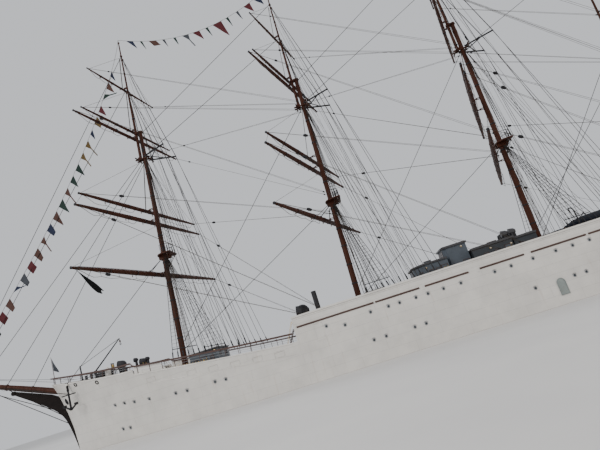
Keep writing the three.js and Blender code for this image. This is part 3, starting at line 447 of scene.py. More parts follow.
def plain_paint(name, base, rough=0.5, worn=None, metallic=0.0, shine=0.5):
    """Brushed paint: two tones in soft patches, a fine tooth, and a worn tone in spots."""
    made = Nodes(name)
    patches = made.noise(9.0, 5)
    tooth = made.noise(60.0, 3)
    tone = made.between(patches, 0.3, 0.72, base, times(base, 0.72))
    if worn:
        tone = made.between(tooth, 0.6, 0.72, tone, worn, most=0.6)
    made.bump(tooth, 0.2, 0.0008)
    patchy = made.ramp(patches, [(0.3, rough * 0.8), (0.75, min(rough * 1.2, 1))])
    return made.finish(tone, patchy, metallic, shine=shine)


def house_walls(name, settings, roof, shade=1.0):
    """The paint of a house's walls, with the roof's dark paint above some height."""
    made = Nodes(name)
    patches, tooth = made.noise(9.0, 5), made.noise(60.0, 3)
    worn = made.ramp(tooth, [(0.6, 0.0), (0.72, 0.5)])
    # shade darkens the wall paint: below 1 it is painted shade, standing for the shadow under an
    # overhanging roof.
    paint_tone = times(settings.house, shade)
    wall = made.between(patches, 0.3, 0.72, paint_tone, times(paint_tone, 0.75))
    wall = made.mix(worn, wall, times(paint_tone, 1.5))
    top = made.mix(worn, settings.roof, times(settings.roof, 1.8))
    base = made.mix(made.math("GREATER_THAN", made.axis("Z"), roof * SCALE), wall, top)
    made.bump(tooth, 0.2, 0.0008)
    return made.finish(base, made.ramp(patches, [(0.3, 0.4), (0.75, 0.6)]))


def spar_paint(name, settings):
    """Dark red paint over steel spars, streaked along them and lighter in worn patches."""
    made = Nodes(name)
    streaks = made.noise(22.0, 6, stretch=(1, 1, 0.12))
    patches = made.noise(3.5, 4)
    tone = made.between(streaks, 0.35, 0.7, settings.spar, times(settings.spar, 0.55))
    tone = made.between(patches, 0.55, 0.75, tone, times(settings.spar, 1.5), most=0.5)
    made.bump(streaks, 0.25, 0.001)
    return made.finish(tone, made.ramp(streaks, [(0.3, 0.5), (0.8, 0.75)]), shine=0.2)


# Where the deck's level is taken, on both sides of each break.
PLANK_PLACES = [
    -48, -44, -40, -36, -32, -28, -24, -20, POOP_BREAK - 0.1,
    POOP_BREAK + 0.3, 20, 24, 28, 32, 34.9, 34.96, 38, 41, 44, 47,
]


def planks_at(x):
    """The height of the planks."""
    if x > FORECASTLE_BREAK - 0.2:
        return edge_at(max(x, FORECASTLE_BREAK + 0.3)) - 0.24
    return edge_at(x) - (1.04 if x < POOP_BREAK + 0.3 else 1.24)


def planking(name, settings):
    """Laid pine planks with dark caulking, and dark paint on what stands on them."""
    made = Nodes(name)
    shade, joint = bricks(made, plane_vector(made, "X", "Y"), 0.7, 0.0135, 0.37, 0.0009)
    grain = made.noise(90.0, 6, stretch=(0.08, 1, 1))
    tone = made.between(grain, 0.3, 0.72, settings.planks, times(settings.planks, 0.6))
    tone = made.mix(0.55, tone, shade, "SOFT_LIGHT")
    tone = made.mix(joint, tone, (0.02, 0.018, 0.015))
    levels = [((x * SCALE + 5) / 10, planks_at(x) * SCALE) for x in PLANK_PLACES]
    level = made.ramp(made.math("ADD", made.math("MULTIPLY", made.axis("X"), 0.1), 0.5), levels)
    above = made.math("GREATER_THAN", made.math("SUBTRACT", made.axis("Z"), level), 0.012)
    tone = made.mix(above, tone, times(settings.iron, 1.8))
    made.bump(made.math("SUBTRACT", made.math("MULTIPLY", grain, 0.3), joint), 0.4, 0.001)
    return made.finish(tone, 0.75)


def varnish(name, base, rough=0.35, coat=0.3, shine=0.5):
    """Varnished hardwood, with its grain along the rail."""
    made = Nodes(name)
    grain = made.noise(70.0, 6, stretch=(0.1, 1, 1))
    tone = made.between(grain, 0.3, 0.7, base, times(base, 0.45))
    made.bump(grain, 0.2, 0.0006)
    return made.finish(tone, made.ramp(grain, [(0.3, rough), (0.8, rough + 0.2)]), coat=coat, shine=shine)


def rope_fibre(name, base):
    """Laid rope or tarred wire: fine strands that wind round the line."""
    made = Nodes(name)
    strands = made.noise(240.0, 3)
    tone = made.between(strands, 0.3, 0.7, base, times(base, 0.5))
    made.bump(strands, 0.3, 0.0005)
    return made.finish(tone, 0.8, shine=0.2)


def glass_pane(name, tint):
    """Dark window glass with a faint ripple."""
    made = Nodes(name)
    ripple = made.noise(14.0, 2)
    tone = made.mix(ripple, tint, times(tint, 0.4))
    made.bump(ripple, 0.05, 0.001)
    return made.finish(tone, 0.08, shine=0.8)


def woven_cloth(name, base, weave=900.0, sheen=0.05):
    """Woven cloth: crossed threads, sun-faded patches and a soft sheen."""
    made = Nodes(name)
    warp = made.new("ShaderNodeTexWave", wave_type="BANDS", bands_direction="X")
    weft = made.new("ShaderNodeTexWave", wave_type="BANDS", bands_direction="Z")
    for wave in (warp, weft):
        wave.inputs["Scale"].default_value = weave / 10
        made.link(made.place, wave.inputs["Vector"])
    threads = made.math("MULTIPLY", warp.outputs["Fac"], weft.outputs["Fac"])
    faded = made.noise(18.0, 4)
    tone = made.between(faded, 0.3, 0.75, base, [min(c * 1.25 + 0.004, 1) for c in base])
    tone = made.mix(made.math("MULTIPLY", threads, 0.25), tone, times(base, 0.5))
    made.bump(threads, 0.3, 0.0005)
    made.shader.inputs["Sheen Weight"].default_value = sheen
    return made.finish(tone, 0.85, shine=0.2)


def pale_floor(name, _settings):
    """The matt floor of the studio, in two near tones."""
    made = Nodes(name)
    cloud = made.noise(0.6, 3)
    tone = made.between(cloud, 0.3, 0.7, (0.72, 0.71, 0.69), (0.66, 0.65, 0.64))
    return made.finish(tone, 0.85)


# The dressing flags are seen against the light, so their cloth is dark.
FLAG_TINTS = {
    "red": (0.075, 0.014, 0.018),
    "green": (0.014, 0.03, 0.025),
    "blue": (0.014, 0.02, 0.045),
    "brown": (0.07, 0.035, 0.028),
    "grey": (0.045, 0.05, 0.06),
    "black": (0.02, 0.022, 0.022),
    "ochre": (0.1, 0.065, 0.022),
}
# How each finish is made, from its name and the settings.
PAINTS = {
    "pale_floor": pale_floor,
    "hull_paint": hull_paint,
    "spar_paint": spar_paint,
    "deck_planks": planking,
    "rail_varnish": lambda n, s: varnish(n, s.rail),
    "trim_varnish": lambda n, s: varnish(n, s.rail, 0.45),
    "carved_wood": lambda n, s: varnish(n, s.carving, 0.6, 0.0, 0.15),
    "house_paint": lambda n, s: plain_paint(n, s.house, 0.45, (0.5, 0.47, 0.42)),
    "house_trim": lambda n, s: plain_paint(n, s.hull, 0.45),
    "cabin_walls": lambda n, s: house_walls(n, s, 8.93),
    "wheelhouse_walls": lambda n, s: house_walls(n, s, 10.18),
    # The aft house's walls are darkened to 0.4 as painted shade, for the shadow under its overhanging roof.
    "aft_house_walls_painted_shade": lambda n, s: house_walls(n, s, 8.73, 0.4),
    "fore_house_walls": lambda n, s: house_walls(n, s, 7.22),
    "side_door_paint": lambda n, s: plain_paint(n, (0.27, 0.31, 0.3), 0.45, (0.2, 0.13, 0.09)),
    "roof_paint": lambda n, s: plain_paint(n, s.roof, 0.6, (0.2, 0.19, 0.18)),
    "black_iron": lambda n, s: plain_paint(n, s.iron, 0.5, (0.05, 0.03, 0.02), shine=0.25),
    "brass": lambda n, s: plain_paint(n, (0.6, 0.42, 0.16), 0.3, metallic=1.0),
    "galvanised": lambda n, s: plain_paint(n, (0.4, 0.41, 0.42), 0.45, metallic=0.8),
    "tarred_wire": lambda n, s: rope_fibre(n, s.wire),
    "hemp": lambda n, s: rope_fibre(n, s.hemp),
    "window_glass": lambda n, s: glass_pane(n, (0.03, 0.04, 0.05)),
    "lamp_glass": lambda n, s: glass_pane(n, (0.95, 0.92, 0.86)),
    "boat_canvas": lambda n, s: woven_cloth(n, s.canvas),
    "lifebuoy_paint": lambda n, s: plain_paint(n, (0.72, 0.2, 0.06), 0.5),
}


def paint(name):
    """A finish by its name. It is made when a piece first asks for it."""
    found = bpy.data.materials.get(name)
    if found:
        return found
    if name.startswith("flag_"):
        return woven_cloth(name, FLAG_TINTS[name.removeprefix("flag_")])
    return PAINTS[name](name, bpy.context.scene.barque)


def tint(name, description, default):
    return bpy.props.FloatVectorProperty(
        name=name, description=description, subtype="COLOR", default=default, min=0, max=1,
    )


def length(name, description, default, low, high):
    return bpy.props.FloatProperty(
        name=name, description=description, default=default, min=low, max=high, unit="LENGTH",
    )


class BarqueSettings(bpy.types.PropertyGroup):
    """Sizes of the full-size ship and colours that can be changed before the pieces are made."""

    hull: tint("Hull", "Paint of the hull above the water", (0.72, 0.7, 0.66))
    underwater: tint("Bottom", "Paint of the hull below the water", (0.24, 0.045, 0.03))
    spar: tint("Spars", "Paint of masts, yards and bowsprit", (0.055, 0.014, 0.005))
    rail: tint("Rails", "Varnish of rails and mouldings", (0.075, 0.03, 0.02))
    carving: tint("Carving", "Wood of the knee of the head and the helm", (0.012, 0.008, 0.007))
    planks: tint("Planks", "Wood of the decks", (0.42, 0.31, 0.2))
    house: tint("Houses", "Paint of the deck houses", (0.08, 0.1, 0.125))
    roof: tint("Roofs", "Covering of the houses' roofs", (0.05, 0.05, 0.055))
    iron: tint("Ironwork", "Paint of anchors, bitts and fittings", (0.013, 0.013, 0.016))
    canvas: tint("Boat covers", "Canvas over the boats", (0.005, 0.008, 0.016))
    wire: tint("Standing rigging", "Tar on shrouds and stays", (0.03, 0.025, 0.022))
    hemp: tint("Running rigging", "Colour of braces, lifts and falls", (0.06, 0.045, 0.03))
    shroud_radius: length("Shroud radius", "Radius of shrouds and stays, full size", 0.035, 0.01, 0.1)
    line_radius: length("Line radius", "Radius of braces, lifts and falls, full size", 0.018, 0.01, 0.1)
    ratline_step: length("Ratline step", "Height from one ratline to the next, full size", 0.45, 0.3, 1.0)
    flag_size: bpy.props.FloatProperty(
        name="Flag size", description="How large the dressing flags are beside their usual size",
        default=1.0, min=0.5, max=1.3,
    )


class BARQUE_OT_stage(bpy.types.Operator):
    """Make the camera, the pale floor at the waterline and the soft studio light"""

    bl_idname = "barque.stage"
    bl_label = "Stage"

    def execute(self, context):
        self.camera(context)
        self.floor()
        self.light(context)
        return {"FINISHED"}

    def camera(self, context):
        yaw, pitch, roll = (math.radians(a) for a in (CAMERA_YAW, CAMERA_PITCH, CAMERA_ROLL))
        ahead = Vector((math.cos(pitch) * math.cos(yaw), math.cos(pitch) * math.sin(yaw), math.sin(pitch)))
        right = Vector((math.sin(yaw), -math.cos(yaw), 0))
        up = right.cross(ahead)
        cos, sin = math.cos(roll), math.sin(roll)
        right, up = cos * right + sin * up, cos * up - sin * right
        data = bpy.data.cameras.new("camera")
        data.sensor_fit = "HORIZONTAL"
        data.sensor_width = SENSOR
        data.lens = CAMERA_FOCAL_PX / PICTURE_WIDTH * SENSOR
        data.clip_end = 200
        camera = bpy.data.objects.new("camera", data)
        turn = Matrix((right, up, -ahead)).transposed().to_4x4()
        camera.matrix_world = Matrix.Translation(Vector(CAMERA_AT) * SCALE) @ turn
        context.scene.collection.objects.link(camera)
        context.scene.camera = camera

    def floor(self):
        shape = Shape()
        reach = 900
        steps = 12
        grid = spread(-reach, reach, steps)
        shape.skin([(x, y, 0) for y in grid for x in grid], steps + 1)
        floor = piece("floor", shape, "pale_floor", body=None, smooth=False)

    def light(self, context):
        world = bpy.data.worlds.new("studio")
        world.use_nodes = True
        sky = world.node_tree.nodes["Background"]
        sky.inputs["Color"].default_value = (0.86, 0.88, 0.92, 1)
        sky.inputs["Strength"].default_value = 0.8
        context.scene.world = world
        lamps = [
            ("key", (14, 16, 12), 9.0, 2200, (1.0, 0.97, 0.93)),
            ("astern", (-16, 9, 5), 8.0, 700, (1.0, 0.86, 0.7)),
            ("starboard", (4, -16, 12), 10.0, 700, (0.93, 0.96, 1.0)),
        ]
        for name, place, size, power, tint in lamps:
            data = bpy.data.lights.new(name, "AREA")
            data.shape = "DISK"
            data.size = size
            data.energy = power
            data.color = tint
            lamp = bpy.data.objects.new(name, data)
            lamp.location = place
            lamp.rotation_euler = (upward(1.5) - Vector(place)).to_track_quat("-Z", "Y").to_euler()
            context.scene.collection.objects.link(lamp)


def smoothing(name, angle):
    """A node group that joins a facetted mesh's points and smooths its shallow edges."""
    group = bpy.data.node_groups.new(name, "GeometryNodeTree")
    group.interface.new_socket("Geometry", in_out="INPUT", socket_type="NodeSocketGeometry")
    group.interface.new_socket("Geometry", in_out="OUTPUT", socket_type="NodeSocketGeometry")
    nodes, links = group.nodes, group.links
    start, end = nodes.new("NodeGroupInput"), nodes.new("NodeGroupOutput")
    drop = nodes.new("GeometryNodeRemoveAttribute")
    drop.inputs["Name"].default_value = "custom_normal"
    weld = nodes.new("GeometryNodeMergeByDistance")
    weld.inputs["Distance"].default_value = 0.00005
    faces = nodes.new("GeometryNodeSetShadeSmooth")
    edges = nodes.new("GeometryNodeSetShadeSmooth")
    edges.domain = "EDGE"
    bend = nodes.new("GeometryNodeInputMeshEdgeAngle")
    shallow = nodes.new("FunctionNodeCompare")
    shallow.operation = "LESS_THAN"
    shallow.inputs[1].default_value = math.radians(angle)
    links.new(start.outputs[0], drop.inputs["Geometry"])
    links.new(drop.outputs[0], weld.inputs["Geometry"])
    links.new(weld.outputs[0], faces.inputs["Geometry"])
    links.new(faces.outputs[0], edges.inputs["Geometry"])
    links.new(bend.outputs["Unsigned Angle"], shallow.inputs[0])
    links.new(shallow.outputs[0], edges.inputs["Shade Smooth"])
    links.new(edges.outputs[0], end.inputs[0])
    return group


# Which finish each of the frame's solids takes. Columns: how its name starts, the finish, and how steep an
# edge between two of its faces may be and still look round. The first row that fits counts.
FRAME_STAYS = (
    "fore_stay", "fore_topmast_stay", "main_stay", "main_topmast_stay",
    "mizzen_stay", "mizzen_topmast_stay", "jigger_stay",
)
SOLID_FINISHES = [
    (("hull", "bulwark", "rudder"), "hull_paint", 32),
    ("cutwater", "carved_wood", 32),
    ("bowsprit", "spar_paint", 55),
    ("deck", "deck_planks", 50),
    ("rail_poop", "hull_paint", 40),
    ("rail", "rail_varnish", 40),
    ("helm", "carved_wood", 40),
    ("cabin", "cabin_walls", 25),
    ("wheelhouse", "wheelhouse_walls", 25),
    # The aft house's walls take their paint darkened as painted shade.
    ("aft_house", "aft_house_walls_painted_shade", 25),
    ("fore_house", "fore_house_walls", 25),
    (("anchor", "derrick"), "black_iron", 50),
    ("boat", "boat_canvas", 40),
    ("dressing", "flag_grey", 30),
    (FRAME_STAYS, "tarred_wire", 60),
    ("", "spar_paint", 55),
]


class BARQUE_OT_finishes(bpy.types.Operator):
    """Give every solid of the frame its paint, varnish or planking"""

    bl_idname = "barque.finishes"
    bl_label = "Finishes of the solids"

    def execute(self, context):
        groups = {}
        for name, solid in NODES.items():
            _, finish, angle = next(row for row in SOLID_FINISHES if name.startswith(row[0]))
            for slot in solid.material_slots:
                slot.link = "OBJECT"
                slot.material = paint(finish)
            if angle not in groups:
                groups[angle] = smoothing(f"rounded_{angle}", angle)
            modifier = solid.modifiers.new("rounded", "NODES")
            modifier.node_group = groups[angle]
        return {"FINISHED"}


# Ports in the ship's side. Columns: how far forward, and how high.
PORTS = [
    (39.2, 4.3), (37.85, 4.2), (36.5, 4.0), (34.45, 3.8), (31.0, 3.5), (29.55, 3.4), (26.05, 3.4),
    (24.75, 3.3), (12.05, 5.5), (10.0, 5.0), (6.85, 5.5), (4.75, 5.5), (3.45, 5.5), (1.55, 5.5),
    (0.15, 5.5), (-1.65, 5.5), (-3.65, 5.5), (-7.55, 5.55), (-9.45, 5.6), (-11.95, 5.65),
    (-14.55, 5.7), (-16.45, 5.7), (-18.35, 5.72), (-20.5, 5.72), (-23.4, 5.72), (-25.6, 5.74),
    (-28.0, 5.76), (-31.2, 5.78), (-33.4, 5.8), (-36.6, 5.8), (-39.0, 5.9), (7.45, 2.5),
    (6.05, 2.5), (2.75, 2.5), (1.45, 2.5), (-10.95, 2.55), (-15.35, 2.6), (-16.65, 2.6),
    (-24.0, 2.7), (-25.3, 2.7), (39.15, 1.4), (38.1, 1.3),
]
PORT = {"glass": 0.15, "rim": 0.19}
COAL_PORT = {"x": -13.7, "half": 0.45, "foot": 1.0, "spring": 2.35}
SIDE_DOORS = (-24.9, 12.9)
FREEING_PORTS = (18.0, 20.6, 23.2, 25.8, 28.4, 33.4)
HAWSE_PIPE = (46.6, 6.6)
MOORING_PIPES = ((43.6, 8.1), (40.4, 7.5))
# The moulding under the poop's bulwark runs in lengths. Columns: its ends.
MOULDINGS = [
    (15.3, 6.2), (6.0, 0.85), (0.2, -4.85), (-6.15, -11.2), (-12.0, -18.2), (-18.5, -28),
    (-28.3, -38), (-38.3, -44.2),
]


def spread(start, end, count):
    """Places from a start to an end, at even steps."""
    return [start + (end - start) * i / count for i in range(count + 1)]


def side_line(start, end, count, drop, hand, out=0.0):
    """A line along the ship's side, some way below its edge."""
    return [at_side(x, edge_at(x) - drop, hand, out)[0] for x in spread(start, end, count)]


def turned_to(normal):
    """Two directions in the plane that faces along a normal: level, and up."""
    level = UP.cross(normal).normalized()
    return level, normal.cross(level)


class BARQUE_OT_hull_trim(bpy.types.Operator):
    """Make the ports, mouldings, hawse pipes, freeing ports, side doors and plates"""

    bl_idname = "barque.hull_trim"
    bl_label = "Hull trim"

    def execute(self, context):
        self.ports()
        self.mouldings()
        self.hawse_pipes()
        self.freeing_ports()
        self.side_doors()
        self.plates()
        return {"FINISHED"}

    def ports(self):
        rims, glass = Shape(), Shape()
        for x, z in PORTS:
            for hand in HANDS:
                at, normal = at_side(x, z, hand)
                rims.hoop(at + normal * 0.01, normal, PORT["rim"] - 0.03, 0.04, 16, 6)
                glass.turned(at - normal * 0.05, normal, [(0, PORT["glass"]), (0.065, PORT["glass"])], 16)
                level, up = turned_to(normal)
                brow = [
                    at + normal * 0.05 + (level * math.cos(a) + up * math.sin(a)) * (PORT["rim"] + 0.07)
                    for a in [math.pi * (0.15 + 0.1 * i) for i in range(8)]
                ]
                rims.tube(brow, 0.022, 4)
        piece("port_rims", rims, "galvanised")
        piece("port_glass", glass, "window_glass")

    def mouldings(self):
        dark, white = Shape(), Shape()
        for start, end in MOULDINGS:
            for hand in HANDS:
                dark.tube(side_line(start, end, 12, 1.06, hand, 0.02), 0.11, 6)
        for hand in HANDS:
            white.tube(side_line(15.2, -43.8, 48, 0.16, hand), 0.05, 6)
            for start, end in ((16.3, 35.1), (35.3, 46.7)):
                line = []
                for frame_at in spread(start, end, 20):
                    top = edge(frame_at)
                    line.append(at_side(frame_at + rake_at(frame_at, top), top - 0.12, hand)[0])
                white.tube(line, 0.055, 6)
            white.tube(side_line(16.3, 34.3, 20, 1.32, hand), 0.04, 6)
        piece("side_moulding", dark, "trim_varnish")
        piece("sheer_mouldings", white, "hull_paint")

    def hawse_pipes(self):
        shape = Shape()
        for hand in HANDS:
            at, normal = at_side(*HAWSE_PIPE, hand)
            shape.hoop(at + normal * 0.02, normal, 0.32, 0.09, 20, 8)
            shape.turned(at - normal * 0.2, normal, [(0, 0.24), (0.22, 0.24)], 16)
            for x, z in MOORING_PIPES:
                lip, out = at_side(x, z, hand)
                shape.hoop(lip + out * 0.02, out, 0.2, 0.06, 16, 6)
        piece("hawse_pipes", shape, "black_iron")

    def freeing_ports(self):
        shape = Shape()
        for x in FREEING_PORTS:
            for hand in HANDS:
                z = edge_at(x) - 0.95
                corners = [(-0.55, -0.28), (0.55, -0.28), (0.55, 0.28), (-0.55, 0.28)]
                line = [at_side(x + dx, z + dz, hand, 0.015)[0] for dx, dz in corners]
                shape.tube(line, 0.03, 4, closed=True)
                shape.tube([at_side(x + dx, z + 0.3, hand, 0.05)[0] for dx in (-0.4, 0.4)], 0.035, 6)
        piece("freeing_ports", shape, "hull_paint")

    def side_doors(self):
        """The frames and hinges of the gangway doors, and the scuppers under the waterway."""
        shape = Shape()
        for x in SIDE_DOORS:
            for hand in HANDS:
                corners = [(-0.5, 4.2), (0.5, 4.2), (0.5, 6.1), (-0.5, 6.1)]
                line = [at_side(x + dx, z, hand, 0.012)[0] for dx, z in corners]
                shape.tube(line, 0.025, 4, closed=True)
                for z in (4.6, 5.7):
                    shape.tube([at_side(x + dx, z, hand, 0.04)[0] for dx in (-0.5, -0.3)], 0.035, 6)
        for x in [13 - 6.3 * i for i in range(9)]:
            for hand in HANDS:
                at, normal = at_side(x, edge_at(x) - 1.3, hand)
                shape.turned(at - normal * 0.02, normal, [(0, 0.07), (0.1, 0.06)], 8)
        piece("side_doors", shape, "hull_paint")

    def plates(self):
        """The coal port's arched plate, and the plate that closes the rail before the forecastle."""
        port, closing = Shape(), Shape()
        x, half = COAL_PORT["x"], COAL_PORT["half"]
        arch = [(-half, COAL_PORT["foot"]), (half, COAL_PORT["foot"])]
        for k in range(9):
            a = math.pi * k / 8
            arch.append((half * math.cos(a), COAL_PORT["spring"] + half * math.sin(a)))
        for hand in HANDS:
            for out in (0.045, 0.07):
                rim = [at_side(x + dx, z, hand, out)[0] for dx, z in arch]
                port.tube(rim, 0.03, 5, closed=True)
            low = [at_side(x + dx, z, hand, -0.05)[0] for dx, z in arch]
            high = [at_side(x + dx, z, hand, 0.05)[0] for dx, z in arch]
            port.rings([low, high])
            rings = []
            for i in range(9):
                low_x, high_x = 31.2 + 3.95 * i / 8, 31.85 + 3.3 * i / 8
                low_y = at_side(low_x, edge_at(low_x) - 0.1, hand)[0].y - hand * 0.04
                high_y = at_side(high_x, edge_at(high_x) - 0.1, hand)[0].y - hand * 0.04
                foot = Vector((low_x, low_y, edge_at(low_x) - 0.06))
                head = Vector((high_x, high_y, edge_at(high_x) + 0.8))
                inward = Vector((0, -hand * 0.05, 0))
                rings.append([foot, head, head + inward, foot + inward])
            closing.rings(rings)
        piece("side_port_plates", port, "side_door_paint")
        piece("rail_closing_plates", closing, "hull_paint", smooth=False)


RAILS = tree_of(*[n for n in NODES if n.startswith(("rail", "bulwark", "hull"))])


def rail_point(x, hand):
    """The top of the rail at some place, near its middle."""
    side = at_side(x, edge_at(x) - 0.15, hand)[0].y
    best = None
    for inward in (0.02, 0.08, 0.14):
        start = Vector((x, side - hand * inward, 13.0)) * SCALE
        hit = RAILS.ray_cast(start, DOWN)[0]
        if hit and (best is None or hit.z / SCALE > best.z):
            best = Vector((x, side - hand * inward, hit.z / SCALE))
    return best


# Shrouds of a square-rigged mast, by group. Columns: the height of the head, how far aft of the axis it
# lies, how far off the centreline, and how far aft of the mast each foot stands at the rail. over is how
# far aft of the mast the crosstrees' outrigger spreads the line.
LOWER_SHROUDS = {"z": 20.7, "aft": 0.1, "y": 0.34, "feet": [1.0, 1.65, 2.3, 2.95, 3.6, 4.25]}
BACKSTAYS = table(
    "z aft y ahead over feet",
    (35.3, 0.1, 0.3, 0.0, None, [5.0, 5.8, 6.6]),
    (46.5, 0.05, 0.12, TOPGALLANT_AHEAD, 2.4, [7.4, 8.2]),
    (52.2, 0.05, 0.08, TOPGALLANT_AHEAD, 3.68, [9.0, 9.8]),
)
# The upper shrouds. Columns: the height and place of their heads and feet, aft of the axis and off the
# centreline, and how many there are.
TOPMAST_SHROUDS = {"head": 35.3, "y": 0.28, "foot": 21.32, "foot_y": 1.42, "aft": [0.5, 0.8, 1.1]}
TOPGALLANT_SHROUDS = {"head": 46.5, "y": 0.13, "foot": 35.66, "foot_y": 1.7, "aft": [0.43, 0.56]}
OUTRIGGER = {"z": 35.57, "root": 0.14, "root_y": 0.8, "slope": 0.471}
JIGGER_SHROUDS = {"z": 26.9, "feet": [0.7, 1.3, 1.9, 2.5]}
JIGGER_BACKSTAYS = {"z": 43.2, "feet": [3.0, 3.4]}
SCREW = {"length": 0.7, "r": 0.075}


def set_up(shape, line, radius, sides):
    """A shroud or backstay from its foot at the rail, with the screw that sets it up."""
    shape.tube(line, radius, sides)
    end, r = SCREW["length"], SCREW["r"]
    profile = [(0, 0.04), (0.08, 0.04), (0.1, r), (end, r), (end + 0.05, 0.04)]
    shape.turned(line[0], (line[1] - line[0]).normalized(), profile, 8, 1)


def ratlines(shape, shrouds, low, high, step, radius, slot):
    """Level lines from the first shroud of a side to the last."""
    z = low
    while z < high:
        line = []
        for foot, head in shrouds:
            share = (z - foot.z) / (head.z - foot.z)
            line.append(foot.lerp(head, share))
        sag = [p + upward(-0.02) if 0 < i < len(line) - 1 else p for i, p in enumerate(line)]
        shape.tube(sag, radius, 4, slot)
        z += step


class BARQUE_OT_shrouds(bpy.types.Operator):
    """Make the shrouds, ratlines and backstays that hold the masts sideways"""

    bl_idname = "barque.shrouds"
    bl_label = "Shrouds and backstays"

    def execute(self, context):
        settings = context.scene.barque
        for mast in MASTS:
            shape = Shape()
            for hand in HANDS:
                self.lower(shape, mast, hand, settings)
                self.upper(shape, mast, hand, settings, TOPMAST_SHROUDS, 0.0, 0.42)
                self.upper(shape, mast, hand, settings, TOPGALLANT_SHROUDS, TOPGALLANT_AHEAD, 0.4)
                for group in BACKSTAYS:
                    self.backstays(shape, mast, hand, settings, group)
            piece(f"{mast['name']}_shrouds", shape, ["tarred_wire", "black_iron"])
        self.jigger(settings)
        return {"FINISHED"}

    def lower(self, shape, mast, hand, settings):
        shrouds = []
        for i, foot in enumerate(LOWER_SHROUDS["feet"]):
            z, aft = LOWER_SHROUDS["z"] + mast["lift"], LOWER_SHROUDS["aft"] + 0.04 * i
            head = along(mast, z, -aft, hand * LOWER_SHROUDS["y"])
            shrouds.append((rail_point(mast["x"] - foot, hand), head))
        for line in shrouds:
            set_up(shape, line, settings.shroud_radius, 6)
        low = max(foot.z for foot, _ in shrouds) + 1.2
        ratlines(shape, shrouds, low, LOWER_SHROUDS["z"] - 1.0, settings.ratline_step, 0.018, 0)
        bar = [foot.lerp(head, 1.0 / (head.z - foot.z)) for foot, head in shrouds]
        shape.tube(bar, 0.05, 6, 1)
        for aft in TOPMAST_SHROUDS["aft"]:
            top = along(mast, TOPMAST_SHROUDS["foot"] - 0.1 + mast["lift"], -aft, hand * 1.4)
            low_end = along(mast, 19.3 + mast["lift"], -0.1, hand * 0.38)
            shape.tube([low_end, top], 0.035, 6)

    def upper(self, shape, mast, hand, settings, group, ahead, step):
        lift = mast["lift"]
        shrouds = []
        for aft in group["aft"]:
            foot = along(mast, group["foot"] + lift, -aft, hand * group["foot_y"])
            head = along(mast, group["head"] + lift, ahead - 0.08, hand * group["y"])
            shrouds.append((foot, head))
        for line in shrouds:
            set_up(shape, line, settings.shroud_radius * 0.85, 5)
        ratlines(shape, shrouds, group["foot"] + lift + 1.0, group["head"] + lift - 1.0, step, 0.016, 0)

    def backstays(self, shape, mast, hand, settings, group):
        for foot in group["feet"]:
            low = rail_point(mast["x"] - foot, hand)
            head = along(mast, group["z"] + mast["lift"], group["ahead"] - group["aft"], hand * group["y"])
            line = [low, head]
            if group["over"]:
                aft = group["over"] - 0.06 * (foot - group["feet"][0])
                y = OUTRIGGER["root_y"] + OUTRIGGER["slope"] * (aft - OUTRIGGER["root"])
                line.insert(1, along(mast, OUTRIGGER["z"] + mast["lift"], -aft, hand * y))
            set_up(shape, line, settings.shroud_radius * 0.85, 5)

    def jigger(self, settings):
        shape = Shape()
        for hand in HANDS:
            shrouds = []
            for foot in JIGGER_SHROUDS["feet"]:
                head = along(JIGGER, JIGGER_SHROUDS["z"], -0.1, hand * 0.24)
                shrouds.append((rail_point(JIGGER["x"] - foot, hand), head))
            for line in shrouds:
                set_up(shape, line, settings.shroud_radius, 6)
            low = max(foot.z for foot, _ in shrouds) + 1.2
            ratlines(shape, shrouds, low, 25.5, settings.ratline_step, 0.018, 0)
            for foot in JIGGER_BACKSTAYS["feet"]:
                head = along(JIGGER, JIGGER_BACKSTAYS["z"], JIGGER_TOPMAST_AHEAD, hand * 0.1)
                line = [rail_point(JIGGER["x"] - foot, hand), head]
                set_up(shape, line, settings.shroud_radius * 0.85, 5)
        piece("jigger_shrouds", shape, ["tarred_wire", "black_iron"])


# Stays beside the frame's own. Columns: the mast, the height of the head, how far ahead of the lower
# mast's axis it stands, and the foot, which is a place on the bowsprit.
HEAD_STAYS = [
    ("fore", 34.8, 0.32, 51.8), ("fore", 35.67, 0.34, 59.0), ("fore", 46.9, 0.8, 60.2),
    ("fore", 52.3, 0.74, 61.4),
]
# Stays from one mast down to the next ahead. Columns: the mast, the head's height and place ahead, the
# next mast, and the foot's height and place ahead there.
UPPER_STAYS = [
    ("main", 46.5, 0.8, "fore", 36.1, -0.4), ("main", 52.3, 0.74, "fore", 39.5, -0.3),
    ("mizzen", 46.5, 0.8, "main", 36.1, -0.4), ("mizzen", 52.3, 0.74, "main", 39.5, -0.3),
    ("jigger", 42.8, 0.68, "mizzen", 35.6, -0.4), ("jigger", 30.0, 0.3, "mizzen", 8.2, -0.6),
]
NET_LINES = 7
MAST_NAMED = {mast["name"]: mast for mast in MASTS + [JIGGER]}


